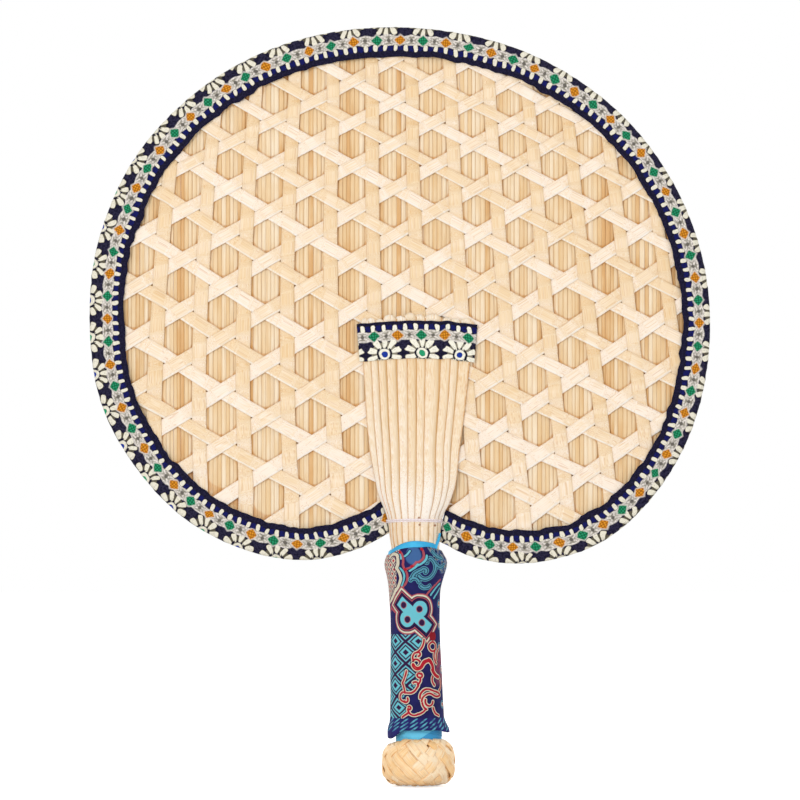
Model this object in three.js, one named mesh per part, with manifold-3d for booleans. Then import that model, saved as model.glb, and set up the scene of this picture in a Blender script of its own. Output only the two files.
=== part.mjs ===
// A woven reed hand fan, in millimetres. +Z runs from the pommel to the crown of the blade,
// the woven face looks to -Y, and the origin is the middle of the grip.

import * as THREE from 'three';
import { mergeVertices } from 'three/addons/utils/BufferGeometryUtils.js';
import Module from 'manifold-3d';

const wasm = await Module();
wasm.setup();

// Blade
const bladeWidth = 297.6;
const bladeHeight = 257.4;
const bladeShift = -8.4;
const lobeDrop = 5.9;
const neckRise = 4;
const neckSkew = 5.4;
const cleftMargin = 5.5;
const cleftRise = 23;
const outlineSteps = 54;

// Triaxial weave of flat strips
const weavePitch = 20.5;
const stripWidth = 6.35;
const stripThickness = 0.45;
const stripGap = 0.12;
const weaveTurn = THREE.MathUtils.degToRad(1.94);
const weaveSpreadAcross = 0.006;
const weaveSpreadUp = 0.0156;
const weavePhase = 0.435;
const weavePhaseDown = 0.215;
const crossingMargin = 0.15;
const leastStripLength = 20;

// Mat of round reeds behind the weave
const reedWidth = 2;
const reedThickness = 1.1;
const reedGroove = 0.3;

// Brocade ribbon folded over the rim
const bindingWidth = 15;
const bindingSway = 1.7;
const bindingSwayTurn = THREE.MathUtils.degToRad(26);
const bindingThickness = 0.6;
const bindingFold = 2.2;

// Splints that clamp the blade to the handle
const splintCount = 11;
const splintLength = 119.75;
const splintTuck = 6.5;
const splintThickness = 0.6;
const splintSlit = 0.25;
const splintFanWidth = 54.6;
const splintNeckWidth = 24;
const splintFlattening = 55;
const splintArc = THREE.MathUtils.degToRad(74);
const splintSteps = 6;
const splintStagger = 2.2;

// Ribbon patch over the splint ends
const trimHeight = 18;
const trimDrop = 4.6;
const trimOverlap = 2;
const trimArch = 2;
const trimThickness = 0.6;

// Handle: wooden core, ribbon wrap, fabric sleeve and plaited pommel
const gripLength = 88.5;
const waistRadius = 10.1;
const waistHeight = 7;
const footRadius = 11.9;
const shoulderLength = 18;
const coreRise = 1.25;
const tenonRadius = 6;
const tenonLength = 13;
const wrapWidth = 10.8;
const wrapThickness = 0.45;
const wrapTurns = 7;
const wrapShow = 2;
const sleeveWall = 0.85;
const sleeveLip = 1.1;
const hemHeight = 5.5;
const hemRoll = 0.9;
const pommelRadius = 18;
const pommelHeight = 21.3;
const pommelCorner = 8.5;
const plaitDepth = 0.9;
const plaitColumns = 9;
const plaitRows = 3;

// Lashing thread round the neck
const threadRadius = 0.32;
const threadPitch = 1.1;
const threadTurns = 2;
const threadHeight = 15;
const threadSides = 6;

// Clearances
const layerGap = 0.2;
const seatGap = 0.3;
const loopSteps = 24;

const gripTop = gripLength / 2;
const gripBottom = -gripLength / 2;

// Depths, from the woven face back: the weave, the mat and the two halves of the clamp
const weaveDepth = 3 * stripThickness + 2 * stripGap;
const bladeDepth = weaveDepth + layerGap + reedThickness;
const weaveLevel = -bladeDepth / 2 + weaveDepth / 2;
const matFront = weaveLevel + weaveDepth / 2 + layerGap;
const bindingInside = bladeDepth / 2 + layerGap;
const bindingOutside = bindingInside + bindingThickness;

const { lerp, smoothstep } = THREE.MathUtils;

// A closed mesh from rings of points that follow one another. Rings are listed in one turning sense, and the
// second half of a ring takes the other diagonal, so that a bent strip keeps its thickness.
function loft(rings) {
  const count = rings[0].length;
  const index = [];
  for (let r = 0; r < rings.length - 1; r += 1) {
    for (let j = 0; j < count; j += 1) {
      const a = r * count + j;
      const b = r * count + ((j + 1) % count);
      const c = a + count;
      const d = b + count;
      if (j < count / 2) {
        index.push(a, b, d, a, d, c);
      } else {
        index.push(a, b, c, b, d, c);
      }
    }
  }
  const last = (rings.length - 1) * count;
  for (const [a, b, c] of capFaces(rings[0])) {
    index.push(a, c, b);
  }
  for (const [a, b, c] of capFaces(rings[rings.length - 1])) {
    index.push(last + a, last + b, last + c);
  }
  const geometry = new THREE.BufferGeometry().setFromPoints(rings.flat());
  geometry.setIndex(index);
  return facingOut(geometry);
}

// Triangles over a ring, in the ring's own turning sense, found in the plane where the ring is widest
function capFaces(ring) {
  const area = new THREE.Vector3();
  ring.forEach((point, j) => area.add(point.clone().cross(ring[(j + 1) % ring.length])));
  const normal = area.clone().normalize();
  const side = new THREE.Vector3().subVectors(ring[1], ring[0]).normalize();
  const up = normal.clone().cross(side);
  const flat = ring.map((point) => new THREE.Vector2(point.dot(side), point.dot(up)));
  return THREE.ShapeUtils.triangulateShape(flat, []);
}

function facingOut(geometry) {
  const { position } = geometry.attributes;
  const index = geometry.index.array;
  const corner = (i) => new THREE.Vector3().fromBufferAttribute(position, index[i]);
  let volume = 0;
  for (let i = 0; i < index.length; i += 3) {
    volume += corner(i).dot(corner(i + 1).cross(corner(i + 2)));
  }
  if (volume < 0) {
    geometry.setIndex(Array.from(index).reverse());
  }
  geometry.computeVertexNormals();
  return geometry;
}

function solidOf(geometry) {
  const bare = geometry.clone();
  bare.deleteAttribute('normal');
  bare.deleteAttribute('uv');
  const merged = mergeVertices(bare);
  return new wasm.Manifold(new wasm.Mesh({
    numProp: 3,
    vertProperties: new Float32Array(merged.attributes.position.array),
    triVerts: new Uint32Array(merged.index.array),
  }));
}

function geometryOf(solid) {
  const mesh = solid.getMesh();
  const geometry = new THREE.BufferGeometry();
  geometry.setAttribute('position', new THREE.Float32BufferAttribute(mesh.vertProperties, 3));
  geometry.setIndex(Array.from(mesh.triVerts));
  geometry.computeVertexNormals();
  return geometry;
}

const fan = new THREE.Group();

function addPart(name, geometry, look) {
  const mesh = new THREE.Mesh(geometry, new THREE.MeshStandardMaterial(look));
  mesh.name = name;
  fan.add(mesh);
  return mesh;
}

const straw = { color: 0xf3dcb2, roughness: 0.55, metalness: 0 };
const reed = { color: 0xdfbd86, roughness: 0.6, metalness: 0 };
const brocade = { color: 0x2a2850, roughness: 0.8, metalness: 0 };
const paleWood = { color: 0xd9b98a, roughness: 0.7, metalness: 0 };

// Blade outline, anticlockwise from the neck's right side, on a box that is two units wide and high
const outlineShape = [
  [0.231, -0.974], [0.359, -1], [0.5, -0.984], [0.661, -0.914], [0.809, -0.763], [0.933, -0.53],
  [0.997, -0.234], [0.987, 0.093], [0.89, 0.408], [0.702, 0.692], [0.406, 0.91], [0.043, 1],
  [-0.306, 0.961], [-0.595, 0.812], [-0.837, 0.544], [-0.965, 0.233], [-1, -0.04], [-0.972, -0.367],
  [-0.874, -0.604], [-0.696, -0.83], [-0.481, -0.956], [-0.293, -0.987], [-0.135, -0.946],
];
const bladeBase = gripTop - lobeDrop;
const bladeMiddle = bladeBase + bladeHeight / 2;
const neckHalf = splintNeckWidth / 2;

const outline = new THREE.CatmullRomCurve3([
  new THREE.Vector3(neckHalf, 0, gripTop + neckRise),
  ...outlineShape.map(([across, up]) => new THREE.Vector3(
    bladeShift + across * bladeWidth / 2, 0, bladeMiddle + up * bladeHeight / 2,
  )),
  new THREE.Vector3(-neckHalf, 0, gripTop + neckRise + neckSkew),
]).getSpacedPoints(outlineSteps);

const inward = outline.map((point, i) => {
  const before = outline[Math.max(i - 1, 0)];
  const after = outline[Math.min(i + 1, outline.length - 1)];
  const way = new THREE.Vector3().subVectors(after, before).normalize();
  return new THREE.Vector3(-way.z, 0, way.x);
});

// The blade stops beside the neck, where the two clamp halves close on each other
const cleftHalf = neckHalf + cleftMargin;
const cleftTop = gripTop + cleftRise;

function bladePrism(inset) {
  const edge = outline.map((point, i) => point.clone().addScaledVector(inward[i], inset));
  const shape = new THREE.Shape(edge.map((point) => new THREE.Vector2(point.x, point.z)));
  const prism = new THREE.ExtrudeGeometry(shape, { depth: 2 * bladeDepth, bevelEnabled: false });
  prism.rotateX(Math.PI / 2).translate(0, bladeDepth, 0);
  const cleft = new THREE.BoxGeometry(2 * cleftHalf, 3 * bladeDepth, 2 * cleftTop);
  return solidOf(prism).subtract(solidOf(cleft));
}

const bladeFill = bladePrism(bindingFold + seatGap);

// Weave lattice: three families of lines, a third of a turn apart, with one pitch between lines. The families
// leave hexagons open. Down strips pass over vertical ones, up strips over down ones, and vertical over up.
const families = {
  vertical: { angle: 0, phase: weavePhase },
  down: { angle: Math.PI / 3, phase: weavePhaseDown },
  up: { angle: 2 * Math.PI / 3, phase: weavePhaseDown - weavePhase + 0.5 },
};
const levelStep = stripThickness + stripGap;
const strands = {
  down: { vertical: -levelStep, up: levelStep / 2 },
  up: { vertical: levelStep, down: -levelStep / 2 },
};
const halfStrip = stripWidth / weavePitch / 2;
const latticeMargin = 1.3;
const latticeReach = Math.ceil(latticeMargin * Math.max(bladeWidth, bladeHeight) / 2 / weavePitch);

function latticePoint(familyA, offsetA, familyB, offsetB) {
  const sine = Math.sin(familyB.angle - familyA.angle);
  return new THREE.Vector2(
    (offsetA * Math.sin(familyB.angle) - offsetB * Math.sin(familyA.angle)) / sine,
    (offsetB * Math.cos(familyA.angle) - offsetA * Math.cos(familyB.angle)) / sine,
  );
}

// The strips fan out a little towards the handle
function weavePlace(lattice, level) {
  const spread = 1 + weaveSpreadAcross * lattice.x + weaveSpreadUp * lattice.y;
  const turned = lattice.clone().rotateAround(new THREE.Vector2(), weaveTurn);
  turned.multiplyScalar(weavePitch / spread);
  return new THREE.Vector3(bladeShift + turned.x, weaveLevel + level, bladeMiddle + turned.y);
}

function stripRing(family, offset, other, otherOffset, level) {
  const left = latticePoint(family, offset - halfStrip, other, otherOffset);
  const right = latticePoint(family, offset + halfStrip, other, otherOffset);
  const half = stripThickness / 2;
  return [
    weavePlace(left, level - half),
    weavePlace(right, level - half),
    weavePlace(right, level + half),
    weavePlace(left, level + half),
  ];
}

// A strip that weaves has two rings at each crossing, along the edges of the strip that it crosses
function wovenStrip(family, offset, crossings) {
  const stations = [];
  for (const [name, level] of Object.entries(crossings)) {
    const other = families[name];
    for (let k = -latticeReach; k <= latticeReach; k += 1) {
      const middle = latticePoint(family, offset, other, k + other.phase);
      const along = -middle.x * Math.sin(family.angle) + middle.y * Math.cos(family.angle);
      if (Math.abs(along) < latticeReach) {
        stations.push({ along, other, offset: k + other.phase, level });
      }
    }
  }
  stations.sort((a, b) => a.along - b.along);
  const edge = halfStrip + crossingMargin / weavePitch;
  return loft(stations.flatMap((station) => {
    const way = Math.sign(Math.sin(station.other.angle - family.angle));
    return [-way, way].map((side) => stripRing(
      family, offset, station.other, station.offset + side * edge, station.level,
    ));
  }));
}

function straightStrip(offset) {
  const across = { angle: Math.PI / 2 };
  const ends = [-latticeReach, latticeReach];
  return loft(ends.map((end) => stripRing(families.vertical, offset, across, end, 0)));
}

// A strip is laid only where it shows inside the binding
const bladeWindow = bladePrism(bindingWidth);
const leastStripVolume = leastStripLength * stripWidth * stripThickness;
const shows = (piece) => piece.intersect(bladeWindow).volume() > leastStripVolume;

for (const [name, family] of Object.entries(families)) {
  let number = 0;
  for (let k = -latticeReach; k <= latticeReach; k += 1) {
    const offset = k + family.phase;
    const strip = strands[name] ? wovenStrip(family, offset, strands[name]) : straightStrip(offset);
    const lengths = solidOf(strip).intersect(bladeFill).decompose();
    for (const length of lengths.filter(shows)) {
      number += 1;
      addPart(`weave_${name}_${String(number).padStart(2, '0')}`, geometryOf(length), straw);
    }
  }
}

// Reed mat: reeds lie side by side, joined along their grooves, and are cut to the blade's outline
const reedCount = Math.ceil(bladeWidth / reedWidth) + 1;
const matLeft = bladeShift - reedCount * reedWidth / 2;
const matFace = Array.from({ length: 2 * reedCount + 1 }, (_, i) => ({
  x: matLeft + i * reedWidth / 2,
  dip: i % 2 ? 0 : reedGroove,
}));
const matProfile = new THREE.Shape([
  ...matFace.map(({ x, dip }) => new THREE.Vector2(x, matFront + dip)),
  ...matFace.map(({ x, dip }) => new THREE.Vector2(x, matFront + reedThickness - dip)).reverse(),
]);
const matBlank = new THREE.ExtrudeGeometry(matProfile, { depth: bladeHeight, bevelEnabled: false });
matBlank.translate(0, 0, bladeBase);
addPart('reed_mat', geometryOf(solidOf(matBlank).intersect(bladeFill)), reed);

// Splint fan: flat over the blade, closing to an arc round the head of the core
const splintTop = gripTop - splintTuck + splintLength;
const fanFoot = gripTop + wrapShow + seatGap;
const splintFlatDepth = bladeDepth / 2 + layerGap + splintThickness / 2;
const splintRadius = neckHalf / Math.sin(splintArc);
const splintEdgeDepth = splintRadius * Math.cos(splintArc);

function splintHalfWidth(z) {
  return lerp(neckHalf, splintFanWidth / 2, Math.max(z - fanFoot, 0) / (splintTop - fanFoot));
}

// Middle of the splint layer at a share across the fan from -1 to 1, on the front (-1) or the back (1)
function splintPlace(across, z, side, out = 0) {
  const round = 1 - smoothstep(z, fanFoot, fanFoot + splintFlattening);
  const angle = across * splintArc;
  const share = lerp(across, Math.sin(angle) / Math.sin(splintArc), round);
  const edge = lerp(splintFlatDepth, splintEdgeDepth, round);
  const crown = splintRadius * round * (Math.cos(angle) - Math.cos(splintArc));
  const lean = new THREE.Vector2(Math.sin(angle) * round, lerp(1, Math.cos(angle), round)).normalize();
  return new THREE.Vector3(
    share * splintHalfWidth(z) + out * lean.x,
    side * (edge + crown + out * lean.y),
    z,
  );
}

// Heights along a splint, closer together near the handle, where it bends most
const lowCrowding = 1.3;

function splintHeights(top) {
  const bottom = gripTop - splintTuck;
  const shares = Array.from({ length: splintSteps + 1 }, (_, i) => (i / splintSteps) ** lowCrowding);
  return shares.map((share) => lerp(bottom, top, share));
}

const splintEdge = (i) => 2 * i / splintCount - 1;
const staggerTurn = 2.4;

for (let i = 0; i < splintCount; i += 1) {
  const top = splintTop - splintStagger * (0.5 + 0.5 * Math.sin(staggerTurn * i));
  const rings = splintHeights(top).map((z) => {
    const slit = splintSlit / 2 / splintHalfWidth(z);
    const left = splintEdge(i) + slit;
    const right = splintEdge(i + 1) - slit;
    const half = splintThickness / 2;
    return [[left, half], [right, half], [right, -half], [left, -half]]
      .map(([across, out]) => splintPlace(across, z, -1, out));
  });
  addPart(`front_splint_${String(i + 1).padStart(2, '0')}`, loft(rings), straw);
}

// The back half of the clamp is one sheet of splints, grooved where they meet
const backRings = splintHeights(splintTop).map((z) => {
  const outer = [];
  for (let i = 0; i <= 2 * splintCount; i += 1) {
    const groove = i % 2 || i === 0 || i === 2 * splintCount ? 0 : splintThickness / 2;
    outer.push([i / splintCount - 1, splintThickness / 2 - groove]);
  }
  const inner = outer.map(([across]) => [across, -splintThickness / 2]).reverse();
  return [...outer, ...inner].map(([across, out]) => splintPlace(across, z, 1, out));
});
addPart('back_splints', loft(backRings), straw);

// Ribbon patches over the upper ends of the splints, with their ends turned in to the blade
const trimTop = splintTop - trimDrop;
const trimInside = splintFlatDepth + splintThickness / 2 + seatGap;
const trimFoot = bladeDepth / 2 + seatGap;

function trimRing(side, bottom) {
  const z = trimTop - (bottom ? trimHeight : 0);
  const half = splintHalfWidth(z) + trimOverlap;
  const arch = (x) => z + trimArch * (1 - (x / half) ** 2);
  const mids = [-0.8, -0.4, 0, 0.4, 0.8];
  const outer = [
    [-half, trimFoot], [-half, trimInside],
    ...mids.map((share) => [share * half, trimInside + trimThickness]),
    [half, trimInside], [half, trimFoot],
  ];
  const inside = half - trimThickness;
  const inner = [
    [inside, trimFoot], [inside, trimInside],
    ...mids.map((share) => [-share * inside, trimInside]),
    [-inside, trimInside], [-inside, trimFoot],
  ];
  return [...outer, ...inner].map(([x, depth]) => new THREE.Vector3(x, side * depth, arch(x)));
}

for (const [name, side] of [['front_trim', -1], ['back_trim', 1]]) {
  addPart(name, loft([trimRing(side, true), trimRing(side, false)]), brocade);
}

// Lashing thread: one length wound round both clamp halves at the neck, begun and ended at the back
const lashMiddle = gripTop + threadHeight;
const lashOut = splintThickness / 2 + seatGap + threadRadius;
const lashSide = splintHalfWidth(lashMiddle) + seatGap + 2 * threadRadius;

function lashPlace(turn) {
  const quarter = loopSteps / 4;
  const step = Math.round(turn * loopSteps) % loopSteps;
  const fromSide = (step + quarter) % (2 * quarter);
  const side = step > quarter && step < 3 * quarter ? -1 : 1;
  if (fromSide === 0) {
    return new THREE.Vector3(step === quarter ? -lashSide : lashSide, 0, 0);
  }
  const share = (fromSide - quarter) / (quarter - 1);
  return splintPlace(side < 0 ? share : -share, lashMiddle, side, lashOut);
}

const lashPath = Array.from({ length: threadTurns * loopSteps + 1 }, (_, i) => {
  const turn = i / loopSteps;
  return lashPlace(turn).setZ(lashMiddle + threadPitch * (turn - threadTurns / 2));
});

function tubeRings(path, radius, sides) {
  const upright = new THREE.Vector3(0, 0, 1);
  return path.map((point, i) => {
    const before = path[Math.max(i - 1, 0)];
    const after = path[Math.min(i + 1, path.length - 1)];
    const way = new THREE.Vector3().subVectors(after, before);
    const out = way.cross(upright).normalize();
    return Array.from({ length: sides }, (_, j) => {
      const angle = 2 * Math.PI * j / sides;
      return point.clone().addScaledVector(out, radius * Math.cos(angle))
        .addScaledVector(upright, radius * Math.sin(angle));
    });
  });
}

// Least distance between rings of neighbouring turns of a winding, from point to point
function leastTurnGap(rings) {
  let least = Infinity;
  for (let i = 0; i < rings.length; i += 1) {
    for (let k = i + loopSteps / 2; k < rings.length; k += 1) {
      for (const a of rings[i]) {
        for (const b of rings[k]) {
          least = Math.min(least, a.distanceTo(b));
        }
      }
    }
  }
  return least;
}

const lashRings = tubeRings(lashPath, threadRadius, threadSides);
console.log(`lashing thread, least gap to itself: ${leastTurnGap(lashRings).toFixed(2)} mm`);
addPart('lashing_thread', loft(lashRings), { color: 0xf3e4e8, roughness: 0.7, metalness: 0 });

// Edge binding: a ribbon folded over the rim, wider on the left, slotted where the thread passes
const swayWay = new THREE.Vector3(Math.cos(bindingSwayTurn), 0, Math.sin(bindingSwayTurn));
const foldShare = 0.72;
const bindingRings = outline.map((point, i) => {
  const width = bindingWidth + bindingSway * inward[i].dot(swayWay);
  const shoulder = (1 - foldShare) * bindingFold;
  const bend = bindingThickness + shoulder;
  const outer = [
    [width, -bindingOutside], [bindingFold, -bindingOutside], [shoulder, -foldShare * bindingOutside], [0, 0],
    [shoulder, foldShare * bindingOutside], [bindingFold, bindingOutside], [width, bindingOutside],
  ];
  const inner = [
    [width, bindingInside], [bindingFold, bindingInside], [bend, foldShare * bindingInside],
    [bindingThickness, 0],
    [bend, -foldShare * bindingInside], [bindingFold, -bindingInside], [width, -bindingInside],
  ];
  return [...outer, ...inner].map(([inset, y]) => point.clone().addScaledVector(inward[i], inset).setY(y));
});
const slotReach = seatGap + threadRadius;
const slotHeight = threadPitch * threadTurns + 2 * slotReach;
const slotWidth = lashSide + slotReach;
const lashSlot = new THREE.BoxGeometry(2 * slotWidth, 4 * bindingOutside, slotHeight);
lashSlot.translate(0, 0, lashMiddle);
addPart('edge_binding', geometryOf(solidOf(loft(bindingRings)).subtract(solidOf(lashSlot))), brocade);

// Grip surface: the radius that the wrap lies on, over the splint ends at the top and the core below
const splintOutside = splintRadius + splintThickness / 2;
const coreHead = splintRadius - splintThickness / 2 - seatGap;

function gripRadius(z) {
  const splintEnd = gripTop - splintTuck;
  const shoulder = (splintOutside - waistRadius) * smoothstep(z, splintEnd - shoulderLength, splintEnd);
  const flare = (footRadius - waistRadius) * smoothstep(waistHeight - z, 0, waistHeight - gripBottom);
  return waistRadius + shoulder + flare;
}

function lathe(profile, segments) {
  const points = profile.map(([radius, z]) => new THREE.Vector2(radius, z));
  return new THREE.LatheGeometry(points, segments).rotateX(Math.PI / 2);
}

const gripSteps = 9;
const gripHeights = Array.from({ length: gripSteps + 1 }, (_, i) => lerp(gripBottom, gripTop, i / gripSteps));

// Core: a turned stick with a waist, a head inside the splints and a tenon in the pommel
const coreFoot = gripBottom - wrapShow;
addPart('handle_core', lathe([
  [0, coreFoot - tenonLength], [tenonRadius, coreFoot - tenonLength], [tenonRadius, coreFoot],
  [footRadius, coreFoot],
  ...gripHeights.map((z) => [Math.min(gripRadius(z), coreHead), z]),
  [coreHead, gripTop + coreRise], [0, gripTop + coreRise],
], loopSteps), paleWood);

// Ribbon wrap: one flat ribbon wound from the pommel to just past the sleeve
const wrapBottom = gripBottom - wrapShow + wrapWidth / 2;
const wrapTop = gripTop + wrapShow - wrapWidth / 2;
const wrapOut = seatGap + wrapThickness / 2;

const wrapRings = Array.from({ length: wrapTurns * loopSteps + 1 }, (_, i) => {
  const turn = i / loopSteps;
  const middle = lerp(wrapBottom, wrapTop, turn / wrapTurns);
  const angle = 2 * Math.PI * turn;
  const half = wrapThickness / 2;
  return [[-1, half], [0, half], [1, half], [1, -half], [0, -half], [-1, -half]].map(([end, out]) => {
    const z = middle + end * wrapWidth / 2;
    const radius = gripRadius(z) + wrapOut + out;
    return new THREE.Vector3(radius * Math.sin(angle), radius * Math.cos(angle), z);
  });
});
console.log(`ribbon wrap, least gap to itself: ${leastTurnGap(wrapRings).toFixed(2)} mm`);
addPart('ribbon_wrap', loft(wrapRings), { color: 0x2fa3d8, roughness: 0.5, metalness: 0 });

// Sleeve: a fabric tube over the wrap, drawn in at the top and turned up into a hem at the bottom
const sleeveInside = (z) => gripRadius(z) + 2 * seatGap + wrapThickness;
const sleeveHeights = gripHeights.slice(1, -1);
const hemTop = gripBottom + hemHeight;

function sleeveOutside(z) {
  const hem = hemRoll * (1 - smoothstep(z, hemTop, hemTop + hemHeight / 2));
  return sleeveInside(z) + sleeveWall + hem;
}

const sleeveProfile = [
  [sleeveInside(gripBottom), gripBottom], [sleeveOutside(gripBottom), gripBottom],
  ...sleeveHeights.map((z) => [sleeveOutside(z), z]),
  [sleeveOutside(gripTop), gripTop - sleeveLip], [sleeveInside(gripTop) + sleeveWall / 3, gripTop],
  [sleeveInside(gripTop), gripTop],
  ...sleeveHeights.map((z) => [sleeveInside(z), z]).reverse(),
];
addPart('grip_sleeve', lathe([...sleeveProfile, sleeveProfile[0]], loopSteps), {
  color: 0x2b3f86, roughness: 0.75, metalness: 0,
});

// Pommel: a round-edged straw knob on the core's tenon, its plait raised in rows of slanted pads
const pommelTop = coreFoot - seatGap;
const pommelBottom = pommelTop - pommelHeight;
const socketRadius = tenonRadius + seatGap;
const socketFloor = coreFoot - tenonLength - seatGap;
const cornerSteps = 5;
const corner = (z, from) => Array.from({ length: cornerSteps + 1 }, (_, i) => {
  const angle = from + (Math.PI / 2) * (i / cornerSteps);
  return [pommelRadius - pommelCorner + pommelCorner * Math.cos(angle), z + pommelCorner * Math.sin(angle)];
});
const pommelShape = lathe([
  [0, pommelBottom],
  ...corner(pommelBottom + pommelCorner, -Math.PI / 2),
  ...corner(pommelTop - pommelCorner, 0),
  [socketRadius, pommelTop], [socketRadius, socketFloor], [0, socketFloor],
], 3 * plaitColumns);
const pommelPoints = pommelShape.attributes.position;
for (let i = 0; i < pommelPoints.count; i += 1) {
  const place = new THREE.Vector3().fromBufferAttribute(pommelPoints, i);
  const radius = Math.hypot(place.x, place.y);
  if (radius > pommelRadius - pommelCorner + plaitDepth) {
    const row = Math.PI * plaitRows * (place.z - pommelBottom) / pommelHeight;
    const column = plaitColumns * Math.atan2(place.y, place.x);
    const sunk = 1 - (plaitDepth / radius) * (0.5 + 0.5 * Math.cos(column) * Math.cos(row));
    pommelPoints.setXYZ(i, place.x * sunk, place.y * sunk, place.z);
  }
}
pommelShape.computeVertexNormals();
addPart('pommel', pommelShape, { color: 0xe9cf9d, roughness: 0.65, metalness: 0 });

fan.name = 'woven_reed_fan';

export default fan;
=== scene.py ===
import math
import random

import bmesh
import bpy
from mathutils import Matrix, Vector, geometry, noise


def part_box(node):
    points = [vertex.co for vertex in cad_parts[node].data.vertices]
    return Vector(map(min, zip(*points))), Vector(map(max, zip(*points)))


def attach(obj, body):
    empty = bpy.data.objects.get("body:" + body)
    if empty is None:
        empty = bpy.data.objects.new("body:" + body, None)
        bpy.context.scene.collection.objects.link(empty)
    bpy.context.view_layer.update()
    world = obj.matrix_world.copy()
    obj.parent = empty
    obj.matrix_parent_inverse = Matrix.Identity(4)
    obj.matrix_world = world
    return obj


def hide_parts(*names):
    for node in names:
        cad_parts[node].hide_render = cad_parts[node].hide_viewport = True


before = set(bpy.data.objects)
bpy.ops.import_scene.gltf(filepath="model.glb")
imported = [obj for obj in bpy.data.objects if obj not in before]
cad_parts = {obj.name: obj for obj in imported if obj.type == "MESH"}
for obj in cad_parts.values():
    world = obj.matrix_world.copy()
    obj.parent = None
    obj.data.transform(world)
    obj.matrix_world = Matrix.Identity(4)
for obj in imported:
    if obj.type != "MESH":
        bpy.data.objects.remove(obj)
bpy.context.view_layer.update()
scene = bpy.context.scene
scene.view_settings.view_transform = "Standard"
mm = 0.001  # shapes are worked out in millimetres
seeded = random.Random(11)
print("frame:", len(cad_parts), "nodes")


def lerp(a, b, share):
    return a + (b - a) * share


def ease(value, low, high):
    share = min(max((value - low) / (high - low), 0), 1)
    return share * share * (3 - 2 * share)


def ripple(x, y=0.0, z=0.0):
    return noise.noise(Vector((x, y, z)))


def turnAt(share):  # cosine and sine at a share of a full turn
    return math.cos(2 * math.pi * share), math.sin(2 * math.pi * share)


def onRing(ring, around):  # the item of a ring that lies at a share around it
    return ring[round(around * len(ring)) % len(ring)]


def spline(points, perSpan):  # centripetal curve through the points
    guide = [2 * points[0] - points[1], *points, 2 * points[-1] - points[-2]]
    line = [points[0]]
    for p0, p1, p2, p3 in zip(guide, guide[1:], guide[2:], guide[3:]):
        g0, g1, g2 = [(b - a).length ** 0.5 for a, b in ((p0, p1), (p1, p2), (p2, p3))]
        start = ((p1 - p0) / g0 - (p2 - p0) / (g0 + g1) + (p2 - p1) / g1) * g1 / 3
        end = ((p2 - p1) / g1 - (p3 - p1) / (g1 + g2) + (p3 - p2) / g2) * g1 / 3
        line += geometry.interpolate_bezier(p1, p1 + start, p2 - end, p2, perSpan + 1)[1:]
    return line


def evenly(line, count):  # the same line with its points equally far apart
    reach = [0.0]
    for a, b in zip(line, line[1:]):
        reach.append(reach[-1] + (b - a).length)
    spaced, i = [], 0
    for k in range(count + 1):
        goal = reach[-1] * k / count
        while i < len(line) - 2 and reach[i + 1] < goal:
            i += 1
        spaced.append(line[i].lerp(line[i + 1], (goal - reach[i]) / (reach[i + 1] - reach[i])))
    return spaced, reach[-1]


def newDrift():  # a place of its own in the noise
    return seeded.uniform(0, 90)


def newForm():
    form = bmesh.new()
    form.loops.layers.uv.new("UVMap")
    form.verts.layers.float.new("tone")
    return form


# A grid is rolled up into a closed band: place and uvOf take the shares along and around
def sweep(form, steps, sides, place, uvOf, tone=0.5, ends="capped"):
    uvLayer = form.loops.layers.uv.active
    toneLayer = form.verts.layers.float["tone"]
    grid = bmesh.ops.create_grid(form, x_segments=steps, y_segments=sides, size=0.5)["verts"]
    spots = {vert: (vert.co.x + 0.5, vert.co.y + 0.5) for vert in grid}
    for face in {face for vert in grid for face in vert.link_faces}:
        for loop in face.loops:
            loop[uvLayer].uv = uvOf(*spots[loop.vert])
    for vert, spot in spots.items():
        vert.co = Vector(place(*spot)) * mm
        vert[toneLayer] = tone(*spot) if callable(tone) else tone
    rims = (0, 1) if ends == "joined" else (1,)
    shadeAndFleck = [vert for vert, spot in spots.items() if min(min(spot[k], 1 - spot[k]) for k in rims) < 1e-4]
    bmesh.ops.remove_doubles(form, verts=shadeAndFleck, dist=1e-7)
    if ends == "capped":
        rimEdges = {edge for vert in grid if vert.is_valid for edge in vert.link_edges if edge.is_boundary}
        bmesh.ops.holes_fill(form, edges=list(rimEdges), sides=0)


def objectOf(name, form, material):
    mesh = bpy.data.meshes.new(name)
    form.to_mesh(mesh)
    form.free()
    mesh.materials.append(material)
    piece = bpy.data.objects.new(name, mesh)
    scene.collection.objects.link(piece)
    return piece


def finishPiece(name, form, material, slot, *nodes):
    bmesh.ops.recalc_face_normals(form, faces=form.faces)
    piece = objectOf(name, form, material)
    piece.data.shade_smooth()
    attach(piece, "root")
    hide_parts(*nodes)
    return piece


def sweptPiece(name, material, slot, node, *swept, ends="capped"):
    form = newForm()
    sweep(form, *swept, ends=ends)
    return finishPiece(name, form, material, slot, node)


# Camera: straight at the woven face from far off, with the photograph's frame
camera = {"distance": 3.0, "frameWidth": 0.384, "centre": (-0.00816, 0.11695), "sensor": 36}
eye = bpy.data.objects.new("eye", bpy.data.cameras.new("eye"))
scene.collection.objects.link(eye)
eye.location = (camera["centre"][0], -camera["distance"], camera["centre"][1])
eye.rotation_euler = (math.radians(90), 0, 0)
eye.data.sensor_width = camera["sensor"]
eye.data.lens = camera["sensor"] * camera["distance"] / camera["frameWidth"]
scene.camera = eye


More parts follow.
